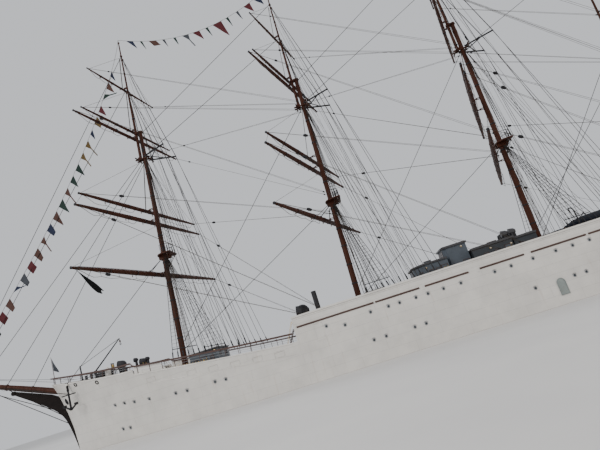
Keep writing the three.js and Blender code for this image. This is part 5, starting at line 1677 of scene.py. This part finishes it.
class BARQUE_OT_deck_gear(bpy.types.Operator):
    """Make the ladders, rails, hatch gear, lifebuoys, bell and coils along the decks"""

    bl_idname = "barque.deck_gear"
    bl_label = "Deck gear"

    def execute(self, context):
        self.hatch()
        self.breaks()
        self.rail_gear()
        self.forecastle()
        self.poop()
        self.helm()
        self.anchors()
        return {"FINISHED"}

    def hatch(self):
        """Tarpaulin battens, cleats and wedges round the main hatch."""
        shape = Shape()
        x, top = HATCH["x"], HATCH["top"]
        for hand in HANDS:
            shape.block((x, hand * 2.13, top - 0.22), (4.4, 0.05, 0.12), 0)
            shape.block((x + hand * 2.23, 0, top - 0.22), (0.05, 4.2, 0.12), 0)
            for i in range(6):
                shape.block((x - 2.0 + 0.8 * i, hand * 2.17, top - 0.2), (0.12, 0.1, 0.24), 1, 0, 0.7)
        for i in range(5):
            y = -1.68 + 0.84 * i
            shape.block((x, y, top + 0.02), (4.3, 0.8, 0.045), 0)
        for dx in (-1.2, 1.2):
            shape.block((x + dx, 0, top + 0.06), (0.09, 4.3, 0.05), 1)
        piece("hatch_gear", shape, ["deck_planks", "black_iron"])

    def ladder(self, shape, foot, head, width):
        level = Vector((0, width / 2, 0))
        for hand in HANDS:
            shape.tube([foot + level * hand, head + level * hand], 0.05, 4, 0)
            rise = upward(0.9)
            run = (foot - head).normalized() * 0.3
            line = [foot + level * hand + rise * 0.7, head + level * hand + rise, head + level * hand - run]
            shape.tube(line, 0.022, 5, 1)
        count = max(3, int((head.z - foot.z) / 0.25))
        for i in range(1, count):
            at = foot.lerp(head, i / count)
            shape.block(at, (0.24, width, 0.045), 0)

    def breaks(self):
        """Ladders and doors at the fronts of the poop and the forecastle."""
        shape = Shape()
        for hand in HANDS:
            foot = Vector((17.4, hand * 4.6, deck_at(17.4, 4.6)))
            self.ladder(shape, foot, Vector((15.95, hand * 4.6, POOP_DECK + 0.02)), 0.8)
            foot = Vector((33.9, hand * 3.4, deck_at(33.9, 3.4)))
            self.ladder(shape, foot, Vector((34.95, hand * 3.4, 7.3)), 0.8)
        for x, way, z, height, y in ((20, AFTWARD, 4.75, 1.7, 1.8), (30.5, FORWARD, 6.6, 1.1, 1.4)):
            for hand in HANDS:
                wall, normal = on_wall(SIDES, (x, hand * y, z), way)
                framed(shape, wall, normal, 0.75, height, 1, 0.05, 2, 0)
        paints = ["trim_varnish", "brass", "house_trim"]
        piece("break_ladders", shape, paints)

    def rail_gear(self):
        """Pin rails inside the bulwarks by the shrouds, and guard wires on the stanchions."""
        shape = Shape()
        for mast in MASTS:
            for hand in HANDS:
                line = []
                for i in range(7):
                    x = mast["x"] - 0.8 - 0.7 * i
                    side = at_side(x, edge_at(x) - 0.3, hand)[0]
                    line.append(Vector((x, side.y - hand * 0.28, edge_at(x) - 0.15)))
                shape.tube(line, 0.085, 4, 0)
                for a, b in zip(line, line[1:]):
                    for k in (0.25, 0.75):
                        at = a.lerp(b, k) - upward(0.22)
                        shape.turned(at, UP, RAIL_PIN, 6, 1)
        for hand in HANDS:
            for share in (0.36, 0.68):
                line = []
                for i in range(28):
                    s = 16.2 + 30.2 * i / 27
                    low = edge(s)
                    x = s + rake_at(s, low)
                    side = at_side(x, low - 0.1, hand)[0]
                    top = low + (0.95 - 0.1 * (s - POOP_BREAK) / 19.55 if s < FORECASTLE_BREAK else 0.75)
                    line.append(Vector((x, side.y - hand * 0.05, low + (top - low) * share)))
                shape.tube(line, 0.016, 4, 2)
        paints = ["trim_varnish", "brass", "galvanised"]
        piece("rail_gear", shape, paints)

    def forecastle(self):
        """Chains, a lamp screen on each side, the windlass's brake, a bell and coiled hawsers."""
        shape = Shape()
        for hand in HANDS:
            self.chain(shape, Vector((42.0, hand * 0.7, 8.9)), Vector((44.6, hand * 1.3, 8.55)))
            at = Vector((38.9, hand * 4.9, deck_at(38.9, 4.9)))
            shape.turned(at, UP, LAMP_SCREEN, 14, 2)
            shape.hoop(at + upward(0.95), UP, 0.34, 0.03, 16, 6, 1)
        post = Vector((40.6, 0, deck_at(40.6, 0)))
        for hand in HANDS:
            leg = [post + Vector((0, hand * 0.4, 0)), post + Vector((0, hand * 0.32, 1.75))]
            shape.tube(leg, 0.06, 6, 0)
        shape.tube([post + Vector((0, 0.42, 1.75)), post + Vector((0, -0.42, 1.75))], 0.05, 6, 0)
        bell = post + upward(1.2)
        shape.turned(bell, UP, BELL, 16, 1)
        for x, y, r in COILS:
            self.coil(shape, Vector((x, y, deck_at(x, y))), r)
        paints = ["black_iron", "brass", "house_trim", "hemp"]
        piece("forecastle_gear", shape, paints)

    def chain(self, shape, a, b):
        run = b - a
        count = int(run.length / 0.24)
        for i in range(count):
            at = a.lerp(b, (i + 0.5) / count)
            axis = Vector((0, 1, 0)) if i % 2 else UP
            shape.hoop(at, axis, 0.1, 0.035, 8, 5, 0)

    def coil(self, shape, at, r):
        for k in range(4):
            for ring in range(2):
                shape.hoop(at + upward(0.06 + 0.1 * ring), UP, r - 0.11 * k, 0.055, 18, 6, 3)

    def poop(self):
        """The skylight's glass and bars, lifebuoys, the guard rail at the break, and the vents' tops."""
        shape = Shape()
        x, z = SKYLIGHT_X, deck_at(SKYLIGHT_X - 2.5, 0) + 0.85
        for hand in HANDS:
            for i in range(4):
                shape.block((x - 1.05 + 0.7 * i, hand * 0.5, z + 0.06), (0.56, 0.8, 0.05), 1)
                for k in range(4):
                    y = hand * (0.2 + 0.2 * k)
                    bar = [(x - 1.3 + 0.7 * i, y, z + 0.11), (x - 0.8 + 0.7 * i, y, z + 0.11)]
                    shape.tube(bar, 0.012, 4, 2)
        for hand in HANDS:
            for x in LIFEBUOYS:
                side = at_side(x, edge_at(x) - 0.4, hand)[0]
                at = Vector((x, side.y - hand * 0.24, edge_at(x) - 0.35))
                shape.hoop(at, (0, hand, 0), 0.3, 0.08, 20, 8, 3)
                for k in range(4):
                    turn = math.pi * (0.25 + 0.5 * k)
                    spot = at + Vector((math.cos(turn), 0, math.sin(turn))) * 0.3
                    shape.hoop(spot, Vector((-math.sin(turn), 0, math.cos(turn))), 0.082, 0.012, 10, 4, 0)
        x = POOP_BREAK - 0.1
        for height, r, slot in ((0.4, 0.02, 2), (0.75, 0.02, 2), (1.05, 0.04, 4)):
            z = POOP_DECK + height
            for low, high in ((6.6, 5.1), (4.1, -4.1), (-5.1, -6.6)):
                shape.tube([(x, low, z), (x, high, z)], r, 6, slot)
        for i in range(11):
            y = -6.6 + 1.32 * i
            if abs(abs(y) - 4.6) > 0.45:
                shape.tube([(x, y, POOP_DECK - 0.02), (x, y, POOP_DECK + 1.05)], 0.03, 6, 2)
        shape.turned((14.72, 0.6, POOP_DECK + 1.0), UP, COWL_DOME, 20, 5)
        for x in (-12.0, -12.95):
            for hand in HANDS:
                shape.turned((x, hand * 1.0, 8.72), UP, VENT_TRUNK, 12, 5)
        for x, y, height in MUSHROOMS:
            self.mushroom(shape, x, y, height)
        paints = ["house_trim", "window_glass", "brass", "lifebuoy_paint", "trim_varnish", "black_iron"]
        piece("poop_gear", shape, paints)

    def mushroom(self, shape, x, y, height):
        base = Vector((x, y, deck_at(x, y)))
        trunk = [(0, 0.2), (0.08, 0.16), (height * 0.75, 0.14)]
        cap = [(height * 0.78, 0.3), (height * 0.9, 0.28), (height, 0.12), (height + 0.02, 0.02)]
        shape.turned(base, UP, trunk + cap, 14, 0)

    def helm(self):
        """The compass before the wheel, and gratings for the helmsman."""
        shape = Shape()
        floor = deck_at(COMPASS_X + 0.3, 0)
        shape.turned((COMPASS_X, 0, floor), UP, COMPASS, 16, 1)
        x = GRATING_X
        for hand in HANDS:
            for i in range(7):
                y = hand * (0.75 + 0.11 * i)
                shape.block((x, y, deck_at(x, y) + 0.06), (1.7, 0.05, 0.05), 0)
            y = hand * 1.08
            for i in range(6):
                shape.block((x - 0.7 + 0.28 * i, y, deck_at(x, y) + 0.055), (0.05, 0.72, 0.04), 0)
        piece("helm_gear", shape, ["trim_varnish", "brass"])

    def anchors(self):
        """Tackles from the catheads to the anchors' rings, and fluke lashings."""
        shape = Shape()
        for hand in HANDS:
            x, y = CATHEAD["x"], hand * CATHEAD["y"]
            for across in (0.12, -0.12):
                shape.tube([(x + across, y, 8.25), (x + across, y, 7.7)], 0.03, 5, 0)
            shape.hoop((x, y, 7.75), (1, 0, 0), 0.2, 0.045, 14, 6, 0)
            for k in range(3):
                sheave = [(-0.1, 0.08), (0.1, 0.08)]
                shape.turned((x - 0.09 + 0.09 * k, y, 8.58), (0, hand, 0), sheave, 10, 0)
            shape.hoop((x, y, 5.55), UP, 0.19, 0.035, 12, 6, 0)
        piece("anchor_gear", shape, "black_iron")


# The cuts of the flags. Columns: name, hoist, fly, the share of the fly where the cloth stops narrowing,
# how wide it is from there as a share of the hoist, and the way along X and Z that the fly hangs.
FLAG_CUTS = table(
    "name hoist fly head end fall",
    ("triangle", 1.08, 1.75, 1.0, 0.04, (-0.45, -0.89)),
    ("large", 1.25, 2.05, 1.0, 0.06, (-0.45, -0.89)),
    ("long", 1.4, 3.0, 1.0, 0.04, (-0.4, -0.92)),
    ("trapeze", 1.15, 1.6, 1.0, 0.55, (-0.5, -0.87)),
    ("square", 1.15, 1.3, 1.0, 0.95, (-0.5, -0.87)),
    ("narrow", 0.8, 1.3, 1.0, 0.1, (-0.25, -0.97)),
    ("tailed", 1.0, 2.5, 0.42, 0.18, (-0.4, -0.92)),
    ("blown", 0.95, 2.1, 0.45, 0.2, (-0.95, 0.0)),
    ("strip", 0.4, 1.6, 1.0, 0.15, (-0.3, -0.95)),
)
CUT_NAMED = {cut["name"]: cut for cut in FLAG_CUTS}
JACK = {"hoist": 1.6, "fly": 1.45, "head": 1.0, "end": 0.05}
JACK_AT = (48.59, 0, 11.8)


def flag_row(text):
    return [flag.split() for flag in text.split(", ")]


# The flags of each leg of the dressing line from its first mast, each with its cut and colour.
BOW_FLAGS = flag_row(
    "narrow blue, triangle brown, blown green, triangle red, trapeze ochre, narrow blue, "
    "tailed ochre, tailed ochre, triangle green, triangle green, tailed brown, large green, "
    "large brown, trapeze blue, tailed brown, trapeze brown, square red, trapeze grey, blown blue, "
    "trapeze brown, square red, trapeze green, large brown, square blue, trapeze red"
)
WAIST_FLAGS = flag_row(
    "triangle blue, strip green, square brown, strip grey, strip green, tailed grey, triangle red, "
    "strip green, long red, strip green, strip grey, triangle red, triangle blue"
)
AFTER_FLAGS = flag_row(
    "triangle blue, square red, triangle green, tailed brown, triangle ochre, trapeze grey, "
    "triangle red, strip green, triangle brown, square blue, triangle green, tailed red, "
    "triangle brown"
)
# The legs of the dressing line. Columns: the mast it leaves, the mast it reaches or None for the bowsprit,
# how deep it sags, how the sag leans to its first end, its flags, and their places along it, as shares of
# the leg: where the first is, the step to the next, and how much each step grows.
LEGS = table(
    "from to sag lean flags places",
    ("fore", None, 14.7, (0.7, 1.2), BOW_FLAGS, (0.07, 0.0283, 0.00037)),
    ("fore", "main", 12, (1, 1), WAIST_FLAGS, (1 / 14, 1 / 14, 0)),
    ("main", "mizzen", 12, (1, 1), AFTER_FLAGS, (1 / 14, 1 / 14, 0)),
)


def truck_point(mast):
    over = 0.058 if mast["name"] == "fore" else 0.032
    return along(mast, TRUCK_Z + 0.45 + mast["lift"] + over, TOPGALLANT_AHEAD)


def leg_point(leg, t):
    start = truck_point(MAST_NAMED[leg["from"]])
    end = truck_point(MAST_NAMED[leg["to"]]) if leg["to"] else sprit(61.6, 0.3)
    sag = leg["sag"] * t ** leg["lean"][0] * (1 - t) ** leg["lean"][1]
    return start.lerp(end, t) + upward(-sag)


class BARQUE_OT_flags(bpy.types.Operator):
    """Make the dressing line with its flags, the jack and the furled pennant"""

    bl_idname = "barque.flags"
    bl_label = "Dressing flags"

    def execute(self, context):
        size = context.scene.barque.flag_size
        rng = random.Random(SEED)
        line = Shape()
        for leg in LEGS:
            line.tube([leg_point(leg, i / 60) for i in range(61)], 0.022, 5)
        drawn = piece("dressing_rope", line, "hemp")
        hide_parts("dressing_line")
        for number, leg in enumerate(LEGS):
            first, step, growth = leg["places"]
            for i, (cut, colour_name) in enumerate(leg["flags"]):
                t = first + step * i + growth * i * i
                here, ahead = leg_point(leg, t), leg_point(leg, t + 0.004)
                x, z = CUT_NAMED[cut]["fall"]
                fall = Vector((x + rng.uniform(-0.06, 0.06), rng.uniform(-0.15, 0.15), z)).normalized()
                wave = rng.uniform(0.05, 0.13), rng.uniform(0, 6.28)
                run = (ahead - here).normalized()
                name = f"flag_{number}_{i:02d}"
                finish = f"flag_{colour_name}"
                self.cloth(name, here, run, fall, CUT_NAMED[cut], size, finish, wave, "dressing_rope")
        fall = Vector((-0.52, 0.03, -0.85)).normalized()
        self.cloth("jack", Vector(JACK_AT), DOWN, fall, JACK, 1.0, "flag_grey", (0.1, 0.5), "bowsprit")
        self.furled_pennant()
        return {"FINISHED"}

    def cloth(self, name, here, run, fall, cut, size, finish, wave, rests):
        """One flag: its hoist lies along the line, and its fly hangs away and ripples."""
        rows, columns = 13, 7
        hoist, fly = cut["hoist"] * size, cut["fly"] * size
        side = run.cross(fall)
        side.normalize()
        shape = Shape()
        points = []
        for i in range(rows):
            u = i / (rows - 1)
            width = 1 + (cut["end"] - 1) * min(u / cut["head"], 1)
            for j in range(columns):
                across = (j / (columns - 1) - 0.5) * hoist * width
                ripple = wave[0] * u * math.sin(wave[1] + 5.2 * u + 1.6 * across / hoist)
                points.append(here + run * across + fall * fly * u * 0.97 + side * ripple)
        shape.skin(points, columns)
        made = piece(name, shape, finish)
        thicken(made, 0.0006)

    def furled_pennant(self):
        """The pennant that hangs, gathered in folds, from the port arm of the fore course yard."""
        head, foot = Vector((35.12, 14.75, 18.8)), Vector((32.95, 14.5, 15.6))
        run = (foot - head).normalized()
        across = run.cross(Vector((0, 1, 0))).normalized()
        widths = [0.02, 0.05, 0.13, 0.24, 0.36, 0.47, 0.56, 0.6, 0.58, 0.5]
        columns = 25
        shape = Shape()
        points = []
        for i, width in enumerate(widths):
            u = i / (len(widths) - 1)
            for j in range(columns):
                v = j / (columns - 1) - 0.5
                pleat = 0.13 * width / 0.6 * math.cos(math.pi * j / 2)
                hem = 0.16 * math.sin(9 * v) if i == len(widths) - 1 else 0
                place = head.lerp(foot, u) + across * v * width + Vector((0, pleat, 0)) + run * hem
                points.append(place)
        shape.skin(points, columns)
        made = piece("furled_pennant", shape, "flag_black", body="fore_course_yard")
        thicken(made, 0.0008)
        for i in range(len(widths)):
            row = points[i * columns:(i + 1) * columns]
            walked(row)


# The boats' sections. Columns: share of the half length, half width, how low the keel lies and how high
# the gunwale stands about the boat's middle height.
BOAT = {"x": -21.6, "y": 4.7, "z": 7.42, "half": 4.1}
BOAT_SECTIONS = [
    (-1.0, 0.10, 0.1, 0.6), (-0.92, 0.42, -0.1, 0.58), (-0.78, 0.78, -0.28, 0.55),
    (-0.55, 1.04, -0.4, 0.53), (-0.25, 1.15, -0.46, 0.52), (0.05, 1.17, -0.49, 0.52),
    (0.35, 1.1, -0.46, 0.53), (0.62, 0.9, -0.36, 0.55), (0.82, 0.58, -0.18, 0.57),
    (0.94, 0.3, 0.0, 0.58), (1.0, 0.08, 0.14, 0.6),
]


def boat_point(centre, share, y, z):
    """A point of a boat, at a share of its half length."""
    return centre + Vector((share * BOAT["half"], y, z))


class BARQUE_OT_boats(bpy.types.Operator):
    """Make the boats in their chocks, with canvas covers laced over them"""

    bl_idname = "barque.boats"
    bl_label = "Boats"

    def execute(self, context):
        for side, hand in (("port", 1), ("starboard", -1)):
            self.boat(side, hand)
        return {"FINISHED"}

    def boat(self, side, hand):
        centre = Vector((BOAT["x"], hand * BOAT["y"], BOAT["z"]))
        shape = Shape()
        strakes = 8
        rings = []
        for share, half, low, high in BOAT_SECTIONS:
            ring = []
            for k in range(-strakes, strakes + 1):
                a = k / strakes
                step = 0.02 * (abs(k) % 2)
                y = half * math.copysign(abs(math.sin(a * math.pi / 2)) ** 0.8, a) if k else 0
                z = low + (high - low) * (1 - math.cos(a * math.pi / 2)) ** 0.9
                if half > 0.3:
                    y += math.copysign(step, a)
                ring.append(boat_point(centre, share, y, z))
            rings.append(ring)
        shape.rings(rings, 0)
        keel = [boat_point(centre, share, 0, low - 0.03) for share, _, low, _ in BOAT_SECTIONS]
        stem = [boat_point(centre, share, 0, z) for share, z in ((1.02, 0.15), (1.03, 0.62))]
        stern = [boat_point(centre, share, 0, z) for share, z in ((-1.03, 0.62), (-1.02, 0.12))]
        shape.tube(stern + keel + stem, 0.055, 6, 1)
        for sign in (1, -1):
            gunwale = []
            for share, half, _, high in BOAT_SECTIONS:
                gunwale.append(boat_point(centre, share, sign * (half + 0.03), high - 0.02))
            shape.tube(gunwale, 0.05, 6, 1)
        floor = deck_at(BOAT["x"], hand * 3.0)
        for dx in (-2, 2):
            at = centre + Vector((dx, 0, 0))
            height = at.z - 0.42 - floor
            shape.block((at.x, at.y, floor + height / 2), (0.26, 1.5, height), 1)
            for sign in (1, -1):
                low = (at.x, at.y + sign * 0.45, floor + height - 0.05)
                high = (at.x, at.y + sign * 1.0, floor + height + 0.42)
                shape.tube([low, high], 0.1, 4, 1)
        hull = piece(f"boat_{side}_hull", shape, ["house_trim", "trim_varnish"])
        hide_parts(f"boat_{side}")
        self.cover(side, centre, hull.name)
        self.davits(side, hand, centre)

    def cover(self, side, centre, hull_name):
        """The cover, pulled over a ridge pole and laced under the gunwale."""
        shape = Shape()
        rows, columns = 25, 17
        points = []
        for i in range(rows):
            share = -1.02 + 2.04 * i / (rows - 1)
            half, high = self.section(share)
            ridge = 0.66 * (1 - min(abs(share), 1) ** 3)
            for j in range(columns):
                a = -1 + 2 * j / (columns - 1)
                skirt = 0.2 * max(0, abs(a) - 0.82) / 0.18
                inner = min(abs(a) / 0.82, 1)
                y = math.copysign(inner * (half + 0.09), a) if j != columns // 2 else 0
                z = high + 0.06 + ridge * (1 - inner ** 1.5) - skirt * 1.1
                points.append(boat_point(centre, share, y, z))
        shape.skin(points, columns)
        middle = points[(rows // 2) * columns:(rows // 2 + 1) * columns]
        girth = walked(middle)
        length = walked(points[columns // 2::columns])
        made = piece(f"boat_{side}_cover", shape, "boat_canvas")
        thicken(made, 0.0012)

    def section(self, share):
        share = max(-1.0, min(1.0, share))
        for (a, half_a, _, high_a), (b, half_b, _, high_b) in zip(BOAT_SECTIONS, BOAT_SECTIONS[1:]):
            if share <= b:
                t = (share - a) / (b - a)
                return half_a + (half_b - half_a) * t, high_a + (high_b - high_a) * t
        return BOAT_SECTIONS[-1][1], BOAT_SECTIONS[-1][3]

    def davits(self, side, hand, centre):
        shape = Shape()
        for dx in (-3.3, 3.3):
            x = centre.x + dx
            y = at_side(x, edge_at(x) - 0.4, hand)[0].y - hand * 0.3
            floor = deck_at(x, y - hand * 0.3)
            bend = floor + 2.9
            line = [Vector((x, y, floor)), Vector((x, y, floor + 2.0)), Vector((x, y - hand * 0.1, bend))]
            for k in range(1, 6):
                a = math.pi / 2 * k / 5
                reach = 0.1 + 1.1 * (1 - math.cos(a))
                line.append(Vector((x, y - hand * reach, bend + 0.55 * math.sin(a))))
            shape.tube(line, [0.1, 0.09, 0.08] + [0.075 - 0.004 * k for k in range(5)], 8, 0)
            tip = line[-1]
            low = Vector((x, tip.y, centre.z + 0.95))
            sheave_block(shape, tip - upward(0.25), UP, 0.15, 1)
            sheave_block(shape, low, UP, 0.15, 1)
            for across in (0.05, -0.05):
                shape.tube([tip + Vector((across, 0, -0.2)), low + Vector((across, 0, 0.1))], 0.018, 4, 2)
        paints = ["black_iron", "black_iron", "hemp"]
        piece(f"boat_{side}_davits", shape, paints)


STEPS = [
    BARQUE_OT_stage, BARQUE_OT_finishes, BARQUE_OT_hull_trim, BARQUE_OT_shrouds, BARQUE_OT_stays,
    BARQUE_OT_yard_gear, BARQUE_OT_running_rigging, BARQUE_OT_mast_fittings, BARQUE_OT_houses,
    BARQUE_OT_deck_gear, BARQUE_OT_flags, BARQUE_OT_boats,
]


class BARQUE_PT_panel(bpy.types.Panel):
    """Lists the steps that dress the ship"""

    bl_idname = "BARQUE_PT_panel"
    bl_label = "Barque"
    bl_space_type = "VIEW_3D"
    bl_region_type = "UI"
    bl_category = "Barque"

    def draw(self, context):
        settings = context.scene.barque
        for name in BarqueSettings.__annotations__:
            self.layout.prop(settings, name)
        for step in STEPS:
            self.layout.operator(step.bl_idname)


def register():
    for kind in (BarqueSettings, *STEPS, BARQUE_PT_panel):
        bpy.utils.register_class(kind)
    bpy.types.Scene.barque = bpy.props.PointerProperty(type=BarqueSettings)


def unregister():
    del bpy.types.Scene.barque
    for kind in (BARQUE_PT_panel, *reversed(STEPS), BarqueSettings):
        bpy.utils.unregister_class(kind)


def main():
    register()
    bpy.ops.barque.stage()
    bpy.ops.barque.finishes()
    bpy.ops.barque.hull_trim()
    bpy.ops.barque.shrouds()
    bpy.ops.barque.stays()
    bpy.ops.barque.yard_gear()
    bpy.ops.barque.running_rigging()
    bpy.ops.barque.mast_fittings()
    bpy.ops.barque.houses()
    bpy.ops.barque.deck_gear()
    bpy.ops.barque.flags()
    bpy.ops.barque.boats()


if __name__ == "__main__":
    main()
